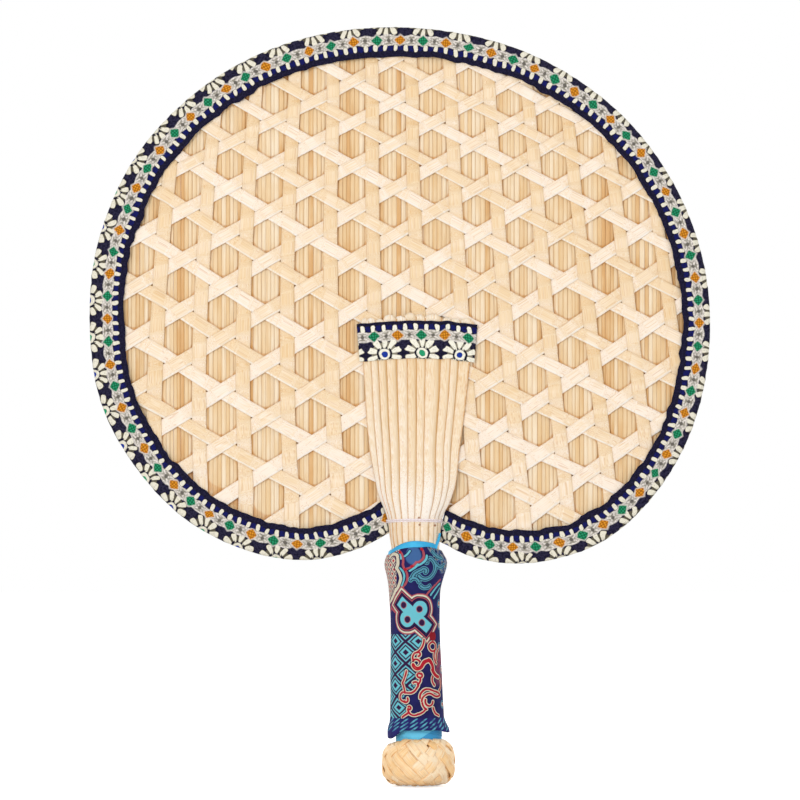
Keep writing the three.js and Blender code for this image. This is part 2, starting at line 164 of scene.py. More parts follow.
class Wire:  # a node's output: sums on it make further nodes in its tree
    def __init__(self, socket):
        self.socket = socket
        self.tree = socket.id_data

    def __add__(self, other):
        return calc("ADD", self, other)

    def __sub__(self, other):
        return calc("SUBTRACT", self, other)

    def __rsub__(self, other):
        return calc("SUBTRACT", other, self)

    def __mul__(self, other):
        return calc("MULTIPLY", self, other)

    def __truediv__(self, other):
        return calc("DIVIDE", self, other)

    def __abs__(self):
        return calc("ABSOLUTE", self)

    __radd__ = __add__
    __rmul__ = __mul__


def tint(code):  # a colour as it is seen, made linear
    parts = [int(code[i:i + 2], 16) / 255 for i in (0, 2, 4)]
    return *[c / 12.92 if c < 0.04045 else ((c + 0.055) / 1.055) ** 2.4 for c in parts], 1.0


def feed(sockets, values):
    for key, value in values.items():
        if isinstance(value, Wire):
            value.tree.links.new(value.socket, sockets[key])
        else:
            sockets[key].default_value = tint(value) if isinstance(value, str) else value


def wired(kind, values, **settings):  # the outputs of a new node that is fed with the values
    tree = next(value.tree for value in values.values() if isinstance(value, Wire))
    node = tree.nodes.new(kind)
    for name, setting in settings.items():
        setattr(node, name, setting)
    feed(node.inputs, values)
    return [Wire(socket) for socket in node.outputs]


def calc(operation, *values):
    return wired("ShaderNodeMath", dict(enumerate(values)), operation=operation)[0]


def step(value, low, high, start=0.0, end=1.0):
    values = dict(enumerate((value, low, high, start, end)))
    return wired("ShaderNodeMapRange", values, interpolation_type="SMOOTHSTEP")[0]


def fade(value, low, high):
    return step(value, low, high, 1.0, 0.0)


def between(value, first, inside, last, outside):
    return step(value, first, inside) * fade(value, last, outside)


def lengthOf(x, y):
    return calc("POWER", x * x + y * y, 0.5)


def blend(factor, first, second):
    return wired("ShaderNodeMix", {0: factor, 6: first, 7: second}, data_type="RGBA")[2]


def cloudy(x, y, z=0.0, detail=2.0):
    vector = wired("ShaderNodeCombineXYZ", {0: x, 1: y, 2: z})[0]
    return wired("ShaderNodeTexNoise", {"Vector": vector, "Scale": 1.0, "Detail": detail})[0]


def ramp(value, stops):
    colour = wired("ShaderNodeValToRGB", {0: value})[0]
    elements = colour.socket.node.color_ramp.elements
    while len(elements) < len(stops):
        elements.new(0.5)
    for element, (position, code) in zip(elements, stops):
        element.position = position
        element.color = tint(code)
    return colour


def newGroup(name, inputs, outputs):
    group = bpy.data.node_groups.new(name, "ShaderNodeTree")
    for way, labels in (("INPUT", inputs), ("OUTPUT", outputs)):
        for label in labels:
            group.interface.new_socket(label, in_out=way, socket_type="NodeSocketFloat")
    given = group.nodes.new("NodeGroupInput").outputs
    return group, [Wire(given[label]) for label in inputs], group.nodes.new("NodeGroupOutput").inputs


def useGroup(group, **values):
    return wired("ShaderNodeGroup", values, node_tree=group)


def newMaterial(name, roughness, specular):
    material = bpy.data.materials.new(name)
    material.use_nodes = True
    shader = material.node_tree.nodes["Principled BSDF"].inputs
    feed(shader, {"Roughness": roughness, "Specular IOR Level": specular})
    return material, shader


def coordinates(material, kind):
    vector = Wire(material.node_tree.nodes.new("ShaderNodeTexCoord").outputs[kind])
    return wired("ShaderNodeSeparateXYZ", {0: vector})


def mapOf(material):  # the piece's own map, in millimetres along and across
    return coordinates(material, "UV")[:2]


def objectPlace(material):  # in millimetres too
    return [way / mm for way in coordinates(material, "Object")]


def finishLook(shader, colour, height, depth):
    bump = wired("ShaderNodeBump", {"Height": height, "Distance": depth})[0]
    feed(shader, {"Base Color": colour, "Normal": bump})


# Fibre grain: streaks and fine dark lines along a straw, with wide blotches
grain = {"toneShift": 71.3, "contrast": (0.3, 0.7), "lineSize": (0.35, 0.8), "lineEdge": (0.6, 0.68),
         "blotchSize": 1.6}
fibreGrain, (along, across, tone, length, width), made = newGroup(
    "fibreGrain", ["Along", "Across", "Tone", "Length", "Width"], ["Streak", "Line", "Blotch"])
far, wide, shift = along / length, across / width, tone * grain["toneShift"]
lineFar, lineWide = [way * size for way, size in zip((far, wide), grain["lineSize"])]
feed(made, {
    "Streak": step(cloudy(far, wide, shift, detail=3.0), *grain["contrast"]),
    "Line": step(cloudy(lineFar, lineWide, shift, detail=1.0), *grain["lineEdge"]),
    "Blotch": step(cloudy(far * grain["blotchSize"], 0.0, shift), *grain["contrast"]),
})

# Thread weave: crossing threads of a woven cloth, as a height from 0 to 1
threadWeave, (along, across, pitch), made = newGroup("threadWeave", ["Along", "Across", "Pitch"], ["Height"])
warp, weft = [calc("SINE", way * math.pi / pitch) for way in (along, across)]
feed(made, {"Height": abs(warp * weft)})


def cellsOf(along, phase, period):  # how far from the middle of its cell, and which of two kinds the cell is
    cell = (along + phase) / period
    return (calc("FRACT", cell) - 0.5) * period, calc("FLOORED_MODULO", calc("FLOOR", cell), 2.0)


# Motif row: one rounded shape repeated along a ribbon, and which of two colours each takes
motifRow, (along, across, period, phase, centre, halfLength, halfHeight, power, soft), made = newGroup(
    "motifRow",
    ["Along", "Across", "Period", "Phase", "Centre", "HalfLength", "HalfHeight", "Power", "Soft"],
    ["Mask", "Other", "Offset"])
offset, other = cellsOf(along, phase, period)
shares = abs(offset) / halfLength, abs(across - centre) / halfHeight
far = calc("POWER", shares[0], power) + calc("POWER", shares[1], power)
feed(made, {"Mask": fade(far, 1.0 - soft, 1.0 + soft), "Other": other, "Offset": offset})

# Petal row: daisies along a ribbon, with the radius from each one's centre
daisy = {"power": 3.0, "flare": (0.75, 0.25), "edge": (0.4, 1.5)}
petalRow, (along, across, period, phase, centre, spread, reach, halfLength, halfWidth), made = newGroup(
    "petalRow",
    ["Along", "Across", "Period", "Phase", "Centre", "Spread", "Reach", "HalfLength", "HalfWidth"],
    ["Petal", "Radius", "Other", "Offset"])
offset, other = cellsOf(along, phase, period)
rise = across - centre
radius = lengthOf(offset, rise)
lean = (calc("FRACT", calc("ARCTAN2", offset, rise) / spread + 0.5) - 0.5) * spread
lengthwise = radius * calc("COSINE", lean) - reach
flare = radius / reach * daisy["flare"][0] + daisy["flare"][1]  # petals widen outwards
shares = lengthwise / halfLength, radius * calc("SINE", lean) / flare / halfWidth
far = [calc("POWER", abs(share), daisy["power"]) for share in shares]
petal = fade(far[0] + far[1], *daisy["edge"])
feed(made, {"Petal": petal, "Radius": radius, "Other": other, "Offset": offset})

# Arc stroke: how far a point is from a stroke of a drawn line
arcStroke, (along, across, midAlong, midAcross, radius, aim, halfTurn), made = newGroup(
    "arcStroke", ["Along", "Across", "MidAlong", "MidAcross", "Radius", "Aim", "HalfTurn"], ["Distance"])
du, dv = along - midAlong, across - midAcross
far = lengthOf(du, dv)
turn = abs(calc("WRAP", calc("ARCTAN2", dv, du) - aim, math.pi, -math.pi))
gap = turn - calc("MINIMUM", turn, halfTurn)
feed(made, {"Distance": lengthOf(far * calc("SINE", gap), far * calc("COSINE", gap) - radius)})
print("node groups:", len(bpy.data.node_groups))


# Straw, as split strips, splints, reeds and plait
def strawMaterial(name, look):
    material, shader = newMaterial(name, look["roughness"], look["specular"])
    along, across = mapOf(material)
    node = material.node_tree.nodes.new("ShaderNodeAttribute")
    node.attribute_name = "tone"
    tone = Wire(node.outputs["Fac"])
    streak, line, blotch = useGroup(
        fibreGrain, Along=along, Across=across, Tone=tone, Length=look["length"], Width=look["width"])
    depth = tone + (streak - 0.5) * look["streak"] + (blotch - 0.5) * look["blotch"]
    colour = blend(line * look["line"], ramp(depth, look["colours"]), look["lineColour"])
    # painted edge shading: a painted highlight along the lower edges of the weave's strips, and painted shade
    # along the edges of splints, plait strands and reeds, where they meet their neighbours
    sideways = (across * -1.0 if look["highlightLowerEdge"] else abs(across)) / look["half"]
    edge = step(sideways, *look["paintedEdgeFrom"])
    if look["highlightLowerEdge"]:
        edge = edge * fade(sideways, *look["paintedEdgeTo"])
    edge = edge * step(blotch, 0.0, 1.0, look["edge"] * (1 - look["patchy"]), look["edge"])
    colour = blend(edge, colour, look["paintedEdgeColour"])
    gloss = [look["roughness"] + change for change in (look["gloss"], -look["gloss"])]
    feed(shader, {"Roughness": step(streak, 0.0, 1.0, *gloss)})
    finishLook(shader, colour, streak - line * look["lineDepth"], look["bump"])
    return material, shader, colour


# weave straw, with a painted highlight along the strips' lower edges
stripLook = {
    "colours": ((0.0, "e8bf88"), (0.35, "f0d2a6"), (0.7, "f7e0c1"), (1.0, "fdeddb")),
    "streak": 0.4, "blotch": 0.3, "line": 0.42, "lineColour": "d9a878",
    "edge": 0.0, "paintedEdgeFrom": (0.6, 0.78), "paintedEdgeTo": (0.92, 0.95), "paintedEdgeColour": "fffaf2", "patchy": 0.5,
    "highlightLowerEdge": True, "half": 3.175, "length": 60, "width": 0.42, "roughness": 0.5, "specular": 0.35,
    "gloss": 0.08, "bump": 0.00005, "lineDepth": 0.6,
}
# splint straw, with painted shade along each splint's edges where it meets the next
splintLook = {
    **stripLook, "colours": ((0.0, "e6bd86"), (0.35, "efd2a8"), (0.7, "f6e2c6"), (1.0, "fdf3e6")),
    "edge": 0.95, "patchy": 0.6, "paintedEdgeFrom": (0.68, 0.98), "paintedEdgeColour": "d2903f", "half": 2.4,
    "length": 140, "width": 0.36, "blotch": 0.14, "highlightLowerEdge": False,
    "needleHoles": ((0.9, 60.6), (1.2, 57.3), (8.6, 56.9)), "holeShade": (0.1, 0.5, 0.9, 0.0), "holeShadeColour": "9a6236",
}
splintStraw, shader, colour = strawMaterial("splintStraw", splintLook)
x, y, z = objectPlace(splintStraw)
for spot in splintLook["needleHoles"]:  # needle holes, as dark brown spots: painted shade for holes the surface doesn't have, on the front
    du, dv = x - spot[0], z - spot[1]
    holeShade = step(du * du + dv * dv, *splintLook["holeShade"]) * calc("LESS_THAN", y, 0.0)
    colour = blend(holeShade, colour, splintLook["holeShadeColour"])
feed(shader, {"Base Color": colour})
# plait straw, with painted shade along each strand's edges where it meets the next
plaitLook = {
    **stripLook, "colours": ((0.0, "e6ab62"), (0.35, "fbcb8b"), (0.7, "ffdaa7"), (1.0, "ffe8c6")),
    "edge": 0.5, "paintedEdgeFrom": (0.72, 1.0), "paintedEdgeColour": "dca262", "half": 2.4, "length": 12, "width": 0.4,
    "highlightLowerEdge": False,
}
plaitStraw = strawMaterial("plaitStraw", plaitLook)[0]
woodLook = {
    **stripLook, "half": 40, "length": 30, "width": 1.2, "roughness": 0.6,
    "grain": (0.9, 0.9, 0.04), "rings": ((0.3, "cfa874"), (0.7, "ecd0a2")),
}
coreWood, shader, colour = strawMaterial("coreWood", woodLook)
ways = [way * scale for way, scale in zip(objectPlace(coreWood), woodLook["grain"])]
feed(shader, {"Base Color": ramp(cloudy(*ways, detail=3.0), woodLook["rings"])})

# Lattice of the weave, as in the solids
weave = {
    "pitch": 20.5, "thickness": 0.45, "turn": math.radians(1.94), "spread": (0.006, 0.0156),
    "centre": (-8.4, 167.05), "level": -0.65, "lift": 0.34, "crown": 0.1, "step": 1.5, "waver": 0.42,
    "swell": 0.06, "buckle": 0.05, "inset": 3.2, "overrun": 0.35, "swellWaves": 0.7, "waverWaves": 0.45,
    "buckleWaves": 1.7, "liftShare": (0.3, 0.7), "slopeReach": 0.03, "farthest": 9,
    "toneSpread": 0.07, "lowTone": 0.19, "lowFrom": 130, "lowReach": 60, "driftUnit": 100,
    "driftLimits": (1.15, 0.95),
    "driftTerms": ((0, 0), (1, 0), (0, 1), (2, 0), (1, 1), (0, 2), (3, 0), (2, 1), (1, 2), (0, 3)),
    "driftAcross": (-0.35, 1.79, -0.17, 1.69, -0.76, 1.99, -1.74, 0.43, -2.25, -0.37),
    "driftUp": (-0.6, -0.84, 1.86, 1.35, -1.61, 1.66, -0.67, -0.86, 1.05, -3.96),
    "families": {
        "vertical": {"angle": 0.0, "phase": 0.435, "first": -6, "count": 13, "over": "up", "under": "down",
                     "axis": 1, "half": 3.35, "tones": (0.47, 0.5), "edgeHighlight": 0.0, "slope": 0.9,
                     "shade": (1.05, 1.3)},
        "down": {"angle": math.pi / 3, "phase": 0.215, "first": -5, "count": 12, "over": "vertical",
                 "under": "up", "axis": 0, "half": 3.08, "tones": (0.52, 0.86), "edgeHighlight": 0.8, "slope": 0.2,
                 "shade": (0.75, 1.2)},
        "up": {"angle": 2 * math.pi / 3, "phase": 0.28, "first": -6, "count": 12, "over": "down",
               "under": "vertical", "axis": 0, "half": 3.18, "tones": (0.86, 0.72), "edgeHighlight": 0.7,
               "slope": 0.35, "shade": (0.75, 1.2)},
    },
}

# reed straw, with painted shade in the grooves between reeds
reedLook = {
    **stripLook, "colours": ((0.0, "dcac72"), (0.3, "e8c593"), (0.65, "efd3a9"), (1.0, "f6e3c5")),
    "streak": 0.3, "blotch": 0.35, "line": 0.25, "lineColour": "c9924e",
    "edge": 0.5, "paintedEdgeFrom": (0.62, 1.0), "paintedEdgeColour": "d29c58", "half": 0.97, "length": 30, "width": 0.3,
    "highlightLowerEdge": False, "shadeShift": (-0.1, -0.2), "shadeReach": (-0.3, 2.0), "shadeDepths": (0.6, 0.9),
    "shades": (((0.45, 1.7), 0.6, "cf8a34"), ((1.9, 2.7), 0.75, "c07a3c")), "rare": 0.12, "rareTone": 0.15,
    "sideSoft": 0.05,
}
matReed, shader, colour = strawMaterial("matReed", reedLook)
# painted shade: the mat is darker and warmer close under the strips' edges
x, y, z = objectPlace(matReed)
ways = [way + (shift - centre) for way, shift, centre in zip((x, z), reedLook["shadeShift"], weave["centre"])]
held = [calc("MINIMUM", calc("MAXIMUM", way / weave["driftUnit"], -limit), limit)
        for way, limit in zip(ways, weave["driftLimits"])]
for powers, *moves in zip(weave["driftTerms"], weave["driftAcross"], weave["driftUp"]):
    term = calc("MULTIPLY", *[calc("POWER", way, power) for way, power in zip(held, powers)])
    ways = [way - term * move for way, move in zip(ways, moves)]
sideWay, upWay = [way / weave["pitch"] for way in ways]
c, s = math.cos(weave["turn"]), math.sin(weave["turn"])
p, q = sideWay * c + upWay * s, upWay * c - sideWay * s
spread = 1.0 - (p * weave["spread"][0] + q * weave["spread"][1])
p, q = p / spread, q / spread
closeness = 0.0
for family in weave["families"].values():
    line = p * math.cos(family["angle"]) + q * math.sin(family["angle"]) + (0.5 - family["phase"])
    offset = calc("FRACT", line) - 0.5
    apart = abs(offset) * weave["pitch"] - family["half"]
    weight = step(offset, -reedLook["sideSoft"], reedLook["sideSoft"], *family["shade"])
    closeness = closeness + step(apart, *reedLook["shadeReach"], weight, 0.0)
closeness = closeness * fade(y, *reedLook["shadeDepths"])
for reach, share, code in reedLook["shades"]:
    colour = blend(step(closeness, *reach, 0.0, share), colour, code)
feed(shader, {"Base Color": colour})
print("straw materials made")

# Jacquard ribbon: measures in millimetres, from the selvage outwards
ribbonLook = {
    "navy": "0e0c24", "navyThread": "211e3a", "block": "2a2740", "royal": "12185f", "cream": "efe9d6",
    "creamShade": "d8d0b6", "shadeAndFleck": "5e584a", "grey": "a8a294", "link": "ece4dc", "knot": "6c675f",
    "green": "27986a", "greenShade": "0c5f3d", "orange": "e2962b", "orangeShade": "ab660e", "leaf": "2aa06f",
    "dot": "1b3a9c", "roughness": 0.8, "specular": 0.12, "bump": 0.00016, "threadPitch": 0.5,
    "stitchPitch": 1.15, "selvage": (1.9, 2.4), "fleckSize": 1.1, "wander": (1.8, 1.5),
    "wanderSize": (0.2, 0.24), "groundFleck": (0.4, 0.65), "blockFleck": (0.35, 0.6),
    "linkFleck": (0.42, 0.62, 0.35, 0.0), "squareFleck": (0.3, 0.6, 0.35, 1.0),
    "wornFleck": (0.3, 0.5, 0.22, 0.0), "stitchHighlight": (0.1, 0.75), "clothDepth": 0.5,
    "dashPeriod": 4.89, "dashPhase": -0.745, "dashCentre": 4.2, "dash": (0.95, 1.55, 3.0, 0.5),
    "squareCentre": 4.0, "square": (1.2, 1.2, 4.0, 0.5),
    "diamondPeriod": 11.0, "diamondCentre": 7.9, "diamond": (2.75, 2.5, 1.15, 0.2),
    "rim": (3.4, 3.0, 1.15, 0.25),
    "knotSize": (1.0, 0.9, 1.6, 0.5), "veinSlant": 0.6, "vein": (0.3, 0.75), "brim": (1.5, 1.9),
    "linkHalf": (1.95, 2.45), "linkWave": 0.4,
    "daisyPeriod": 17.1, "daisyPhase": 22.8, "daisyCentre": 16.6, "petals": 10, "petal": (5.1, 2.2, 1.02),
    "bed": (3.3, 3.7, 5.6, 6.3), "ring": (1.3, 1.5, 2.3, 2.8), "bracket": (2.5, 2.8, 3.3, 3.7),
    "bracketFrom": (1.7, 2.2), "heart": (1.2, 1.5), "blockCentre": 12.3, "blockSize": (2.5, 4.0, 0.25),
    "blockHalf": (9.045, 0.528),
    "stitchShades": ((0.08, 0.3, "shadeAndFleck"), (0.25, 0.5, "creamShade"), (0.5, 0.85, "cream")),
}


def ribbonMaterial(name, look):
    material, shader = newMaterial(name, look["roughness"], look["specular"])
    along, across = mapOf(material)
    wander = cloudy(along * look["wanderSize"][0], across * look["wanderSize"][1], detail=1.5)
    u = along + wander * look["wander"][0]
    v = across + (wander - 0.5) * look["wander"][1]
    cloth = useGroup(threadWeave, Along=along, Across=across, Pitch=look["threadPitch"])[0]
    stitch = useGroup(threadWeave, Along=u, Across=v, Pitch=look["stitchPitch"])[0]
    fleck = cloudy(along * look["fleckSize"], across * look["fleckSize"])
    ground = blend(step(fleck, *look["groundFleck"]), look["navy"], look["navyThread"])

    def row(period, phase, centre, halfLength, halfHeight, power, soft):
        return useGroup(motifRow, Along=u, Across=v, Period=period, Phase=phase, Centre=centre,
                        HalfLength=halfLength, HalfHeight=halfHeight, Power=power, Soft=soft)

    def shadedStitch(base, mask):  # satin stitch with painted shade: grey at its edge, white in the middle
        for low, high, code in look["stitchShades"]:
            base = blend(step(mask, low, high), base, look[code])
        return base

    # daisies towards the fold, with dark blocks between them
    period, phase = look["daisyPeriod"], look["daisyPhase"]
    petal, radius, other, offset = useGroup(
        petalRow, Along=u, Across=v, Period=period, Phase=phase, Centre=look["daisyCentre"],
        Spread=2 * math.pi / look["petals"],
        **dict(zip(("Reach", "HalfLength", "HalfWidth"), look["petal"])))
    # painted shade: grey in a ring under and between the petals; the same grey also makes dark flecks on the
    # links
    colour = shadedStitch(blend(between(radius, *look["bed"]), ground, look["shadeAndFleck"]), petal)
    blockHalf = look["blockHalf"][0] - v * look["blockHalf"][1]
    block = row(period, phase + period / 2, look["blockCentre"], blockHalf, *look["blockSize"])[0]
    colour = blend(block, colour, blend(step(fleck, *look["blockFleck"]), look["navy"], look["block"]))
    colour = blend(between(radius, *look["ring"]), colour, look["cream"])
    bracket = between(radius, *look["bracket"]) * step(abs(offset), *look["bracketFrom"])
    colour = blend(bracket, colour, look["navy"])
    colour = blend(fade(radius, *look["heart"]), colour, blend(other, look["leaf"], look["dot"]))

    # pale links, crossed at grey knots, with the diamonds on them
    period, centre = look["diamondPeriod"], look["diamondCentre"]
    knot, _, offset = row(period, 0.0, centre, *look["knotSize"])
    rise = abs(v - centre)
    vein = fade(abs(rise - abs(offset) * look["veinSlant"]), *look["vein"])
    link = blend(calc("MAXIMUM", vein, step(rise, *look["brim"])), look["grey"], look["link"])
    link = blend(step(fleck, *look["linkFleck"]), link, look["shadeAndFleck"])
    link = blend(knot, link, look["knot"])
    wave = calc("COSINE", u * (2 * math.pi / period)) * look["linkWave"]
    colour = blend(fade(rise + wave, *look["linkHalf"]), colour, link)
    colour = blend(row(period, period / 2, centre, *look["rim"])[0], colour, look["link"])
    diamond, other, _ = row(period, period / 2, centre, *look["diamond"])
    # painted light and shade on the diamonds' stitches: the lit colour on the stitch tops, the shaded copy
    # between them
    stitchHighlight = step(stitch, *look["stitchHighlight"])
    green, orange = [blend(stitchHighlight, look[code + "Shade"], look[code]) for code in ("green", "orange")]
    colour = blend(diamond, colour, blend(other, green, orange))

    # dashes beside the selvage
    period, phase = look["dashPeriod"], look["dashPhase"]
    dash = row(period, phase, look["dashCentre"], *look["dash"])[0]
    square = row(period, phase + period / 2, look["squareCentre"], *look["square"])[0]
    colour = blend(square * step(fleck, *look["squareFleck"]), colour, look["royal"])
    colour = blend(fade(v, *look["selvage"]), shadedStitch(colour, dash), ground)
    colour = blend(step(fleck, *look["wornFleck"]), colour, look["navy"])
    finishLook(shader, colour, petal + dash + diamond + cloth * look["clothDepth"], look["bump"])
    return material


jacquardRibbon = ribbonMaterial("jacquardRibbon", ribbonLook)
trimRibbon = ribbonMaterial("trimRibbon", {
    **ribbonLook, "cream": "fbf7e6", "shadeAndFleck": "8f8978", "petal": (5.5, 2.7, 1.2), "dashPeriod": 5.0,
    "dashPhase": 0.0, "daisyPeriod": 17.6, "daisyPhase": 8.3,
})
print("ribbon material made")

# Sleeve cloth: round the sleeve and up it, in millimetres, from the middle of the front
brocadeLook = {
    "navy": "2b2a70", "deep": "17153f", "plum": "381640", "teal": "63afc4", "cyan": "78d6e4", "red": "c4242b",
    "rose": "c25a60", "blood": "981a20", "cream": "efe6cc", "slate": "4770a8", "rope": "66bed2",
    "mauve": "8a6a78", "stone": "b4ae98", "hemNavy": "35348a",
    "roughness": 0.75, "specular": 0.12, "bump": 0.0001, "threadPitch": 0.42, "threadShade": 0.22,
    "turnLength": 39.6, "wander": 0.8, "wanderSize": 0.25, "soft": 0.12,
    "latticeHalf": (6.6, 5.3), "latticeAt": (-5.6, -4.2), "latticeBend": (-36, -17, 3.0, 0.0),
    "latticeTop": (4.0, 4.6), "latticeSoft": (-0.2, 0.2),
    "latticeEdge": ((5, 5.5), (1.3, 3.7), (-5.1, -1.0), (-9.3, -2.6), (-16.3, 0.4), (-23.4, -3.0),
                    (-26.9, -7.6), (-30.4, -4.4), (-35.4, -7.6), (-40, -8)),
    "latticeRings": ((0.0, "plum"), (0.24, "plum"), (0.29, "cyan"), (0.5, "cyan"), (0.55, "plum"),
                     (0.66, "plum"), (0.73, "cyan"), (0.8, "cyan"), (0.88, "plum"), (1.0, "plum")),
    "leafAt": (-0.9, 42.3), "leafHalf": (3.6, 4.6), "leafEdge": (0.7, 1.1),
    "check": (0.3, 0.24), "corner": (0.16, (14.2, 14.8), (20.5, 21.5)),
    "checkRings": ((0.0, "red"), (0.2, "rose"), (0.24, "cream"), (0.38, "cream"), (0.42, "mauve")),
    "dusk": (0.5, (28.6, 29.2), (33, 34)),
    "duskStops": ((0.36, "deep"), (0.5, "slate"), (0.58, "stone"), (0.62, "deep")),
    "speckle": (0.6, 0.45), "wash": (0.3, 0.6, 0.2, 0.6), "washRight": (8.6, 11.5),
    "washHeights": (-22, -17, -5, -1),
    "buds": ((15.4, 19.0), (16.2, 8.4), (15.2, -1.6), (16.6, -12.6), (15.8, -29.4)),
    "budBands": ((-1.0, 0.7, "red"), (0.7, 1.15, "cream"), (1.6, 2.0, "teal")),
    "drawn": (
        ("curl", ((0.0, 0.45, "teal"), (0.45, 0.8, "deep"), (0.8, 1.15, "teal"))),
        ("vineEdge", ((0.0, 0.5, "cyan"), (0.5, 0.85, "deep"))), ("vine", ((0.0, 0.5, "rose"),)),
        ("creamBand", ((0.0, 0.75, "cream"), (0.75, 1.2, "plum"))),
    ),
    "vineDots": ((-7.3, 43.6), (-4.4, 35.5), (-1.5, 37.0), (3.1, 45.2), (-9.4, 21.6)), "vineDot": 0.75,
    "flowerLobes": (((2.3, 16.6), 3.9), ((-4.6, 11.8), 3.9)), "flowerArm": ((-0.8, 13.7), -41.0, 10.4, 2.7),
    "flowerSoft": 0.15,
    "flowerBands": ((-9.0, 0.0, "cyan"), (0.0, 0.7, "plum"), (0.7, 1.4, "deep"), (1.4, 1.9, "rose"),
                    (1.9, 2.3, "plum"), (2.3, 3.1, "cream"), (3.1, 3.6, "rose")),
    "flowerDots": ((-6.3, 18.4), (1.9, 16.5), (-4.4, 11.6), (3.0, 10.0)),
    "dotBands": ((-1.0, 1.45, "plum"), (1.45, 1.75, "rose")),
    "redStrokes": (
        ("scroll", ((0.0, 0.5, "red"), (0.5, 0.92, "cream"), (0.92, 1.25, "deep"))),
        ("bold", ((0.0, 0.9, "red"), (0.9, 1.32, "cream"), (1.32, 1.65, "deep"))),
    ),
    "berry": ((9.3, 3.4), 2.3, 0.25), "seamWave": (0.9, 0.42),
    "seamBands": ((-1.0, 0.45, "red"), (0.45, 0.9, "cream"), (0.9, 1.35, "deep")),
    "hemEdge": (-36.0, -35.5), "hemRows": (-36.9, -38.9, -40.8), "hemPitch": 4.4, "hemSlant": 1.3,
    "hemShift": 0.45, "hemStroke": (0.6, 1.35, 2.0, 0.45), "hemWorn": (0.36, 0.58, 0.3, 1.0),
    "wornSize": (0.3, 0.45),
    # chains of arcs, each through three places
    "vine": (
        ((-7.5, 44.1), (-5.5, 41.7), (-5.2, 38.5), (-5.1, 36.9), (-4.6, 35.6), (-3.7, 32.0), (-5.7, 27.5),
         (-8.0, 24.7), (-9.2, 22.1), (-14.3, 18.9), (-16.1, 16.9), (-12.9, 15.3), (-10.2, 14.0)),
        ((-4.6, 35.6), (-1.7, 36.9), (0.3, 39.0), (3.1, 40.7), (3.7, 42.7), (3.6, 44.3), (2.9, 45.7)),
        ((6.1, 23.7), (9.5, 27.2), (14.6, 30.8)),
    ),
    "vineEdge": (
        ((-7.5, 36.4), (-5.4, 34.0), (-5.4, 31.4), (-6.3, 28.8), (-9.3, 24.7)),
        ((-3.1, 34.5), (-0.6, 36.2), (0.5, 37.5), (3.3, 39.1), (5.0, 42.3)),
        ((-8.8, 43.6), (-7.0, 42.2), (-6.4, 41.4)), ((8.4, 23.5), (11.0, 26.3), (14.8, 28.8)),
        ((10.5, 21.8), (12.8, 24.0), (15.5, 26.3)), ((-4.5, 41.9), (-3.4, 43.0), (-2.5, 44.3)),
    ),
    "creamBand": (
        ((-12.5, 41.7), (-10.6, 42.8), (-7.8, 40.7), (-7.6, 38.2), (-8.5, 36.2), (-7.4, 33.7),
         (-7.1, 31.1), (-8.5, 27.9), (-11.1, 25.0), (-13.8, 21.8), (-19.2, 18.9)),
    ),
    "curl": (
        ((-1.3, 32.0), (0.2, 34.0), (2.5, 35.3), (4.2, 35.6), (4.5, 34.5)),
        ((1.5, 32.4), (4.5, 30.8), (7.7, 32.7), (8.8, 36.5), (6.5, 40.7), (5.1, 40.4), (4.6, 38.5)),
        ((-2.6, 30.1), (-0.1, 31.4), (1.4, 30.1)), ((2.3, 27.9), (4.7, 26.6), (6.7, 27.2)),
        ((9.0, 37.8), (11.3, 36.5), (13.5, 37.2)), ((8.8, 43.6), (10.3, 41.7), (13.3, 40.7)),
    ),
    "bold": (
        ((-1.6, -10.7), (0.1, -11.9), (2.6, -10.4), (4.5, -8.4), (6.5, -8.1), (8.1, -10.0), (8.5, -13.2),
         (9.9, -14.9), (13.0, -16.3)),
    ),
    "scroll": (
        ((3.9, 1.3), (2.9, -1.5), (-0.5, -4.4), (-1.9, -6.1), (-1.6, -8.2)),
        ((-0.1, -4.7), (1.7, -4.7), (1.3, -5.9)),
        ((-0.2, -7.5), (1.6, -9.3), (-0.2, -10.9), (-2.0, -9.3), (-0.2, -7.5)),
        ((13.0, -16.3), (14.6, -19.5), (12.6, -22.7)), ((8.7, -15.3), (7.8, -17.7), (9.0, -19.9)),
        ((1.5, -14.2), (2.5, -15.3), (1.4, -16.0), (0.1, -14.9), (1.5, -14.2)),
        ((1.4, -16.0), (1.4, -18.1), (0.3, -19.5)),
        ((-1.8, -18.6), (0.2, -18.8), (-0.1, -20.9), (-2.5, -23.2), (-6.2, -23.4), (-8.9, -25.8),
         (-7.0, -27.6), (-5.1, -27.8), (-4.7, -26.4)),
        ((-5.3, -13.2), (-6.1, -16.0), (-7.4, -18.8), (-6.6, -21.3), (-6.2, -23.4)),
        ((1.2, -25.8), (3.0, -22.3), (7.2, -22.3), (9.8, -23.0), (13.4, -24.4)),
        ((2.0, -28.0), (4.1, -24.4), (7.5, -24.3), (10.2, -25.3), (13.4, -24.6)),
        ((4.0, -26.6), (5.4, -29.7), (7.8, -28.1)),
        ((2.2, -28.0), (2.9, -30.1), (3.9, -31.1), (2.1, -32.9), (-0.3, -33.9), (-3.0, -33.9),
         (-4.7, -30.8), (-3.3, -30.8), (-4.0, -30.1)), ((-7.8, -35.4), (-5.9, -33.9), (-4.4, -32.9)),
        ((7.9, -30.8), (9.1, -33.2), (11.2, -34.5)),
        ((6.6, -0.8), (8.9, 0.6), (11.4, -1.0), (8.7, -3.7), (6.6, -0.8)),
        ((10.4, -3.7), (9.7, -6.5), (11.6, -10.0)), ((13.9, -3.0), (12.0, -5.1), (11.2, -8.2)),
    ),
}


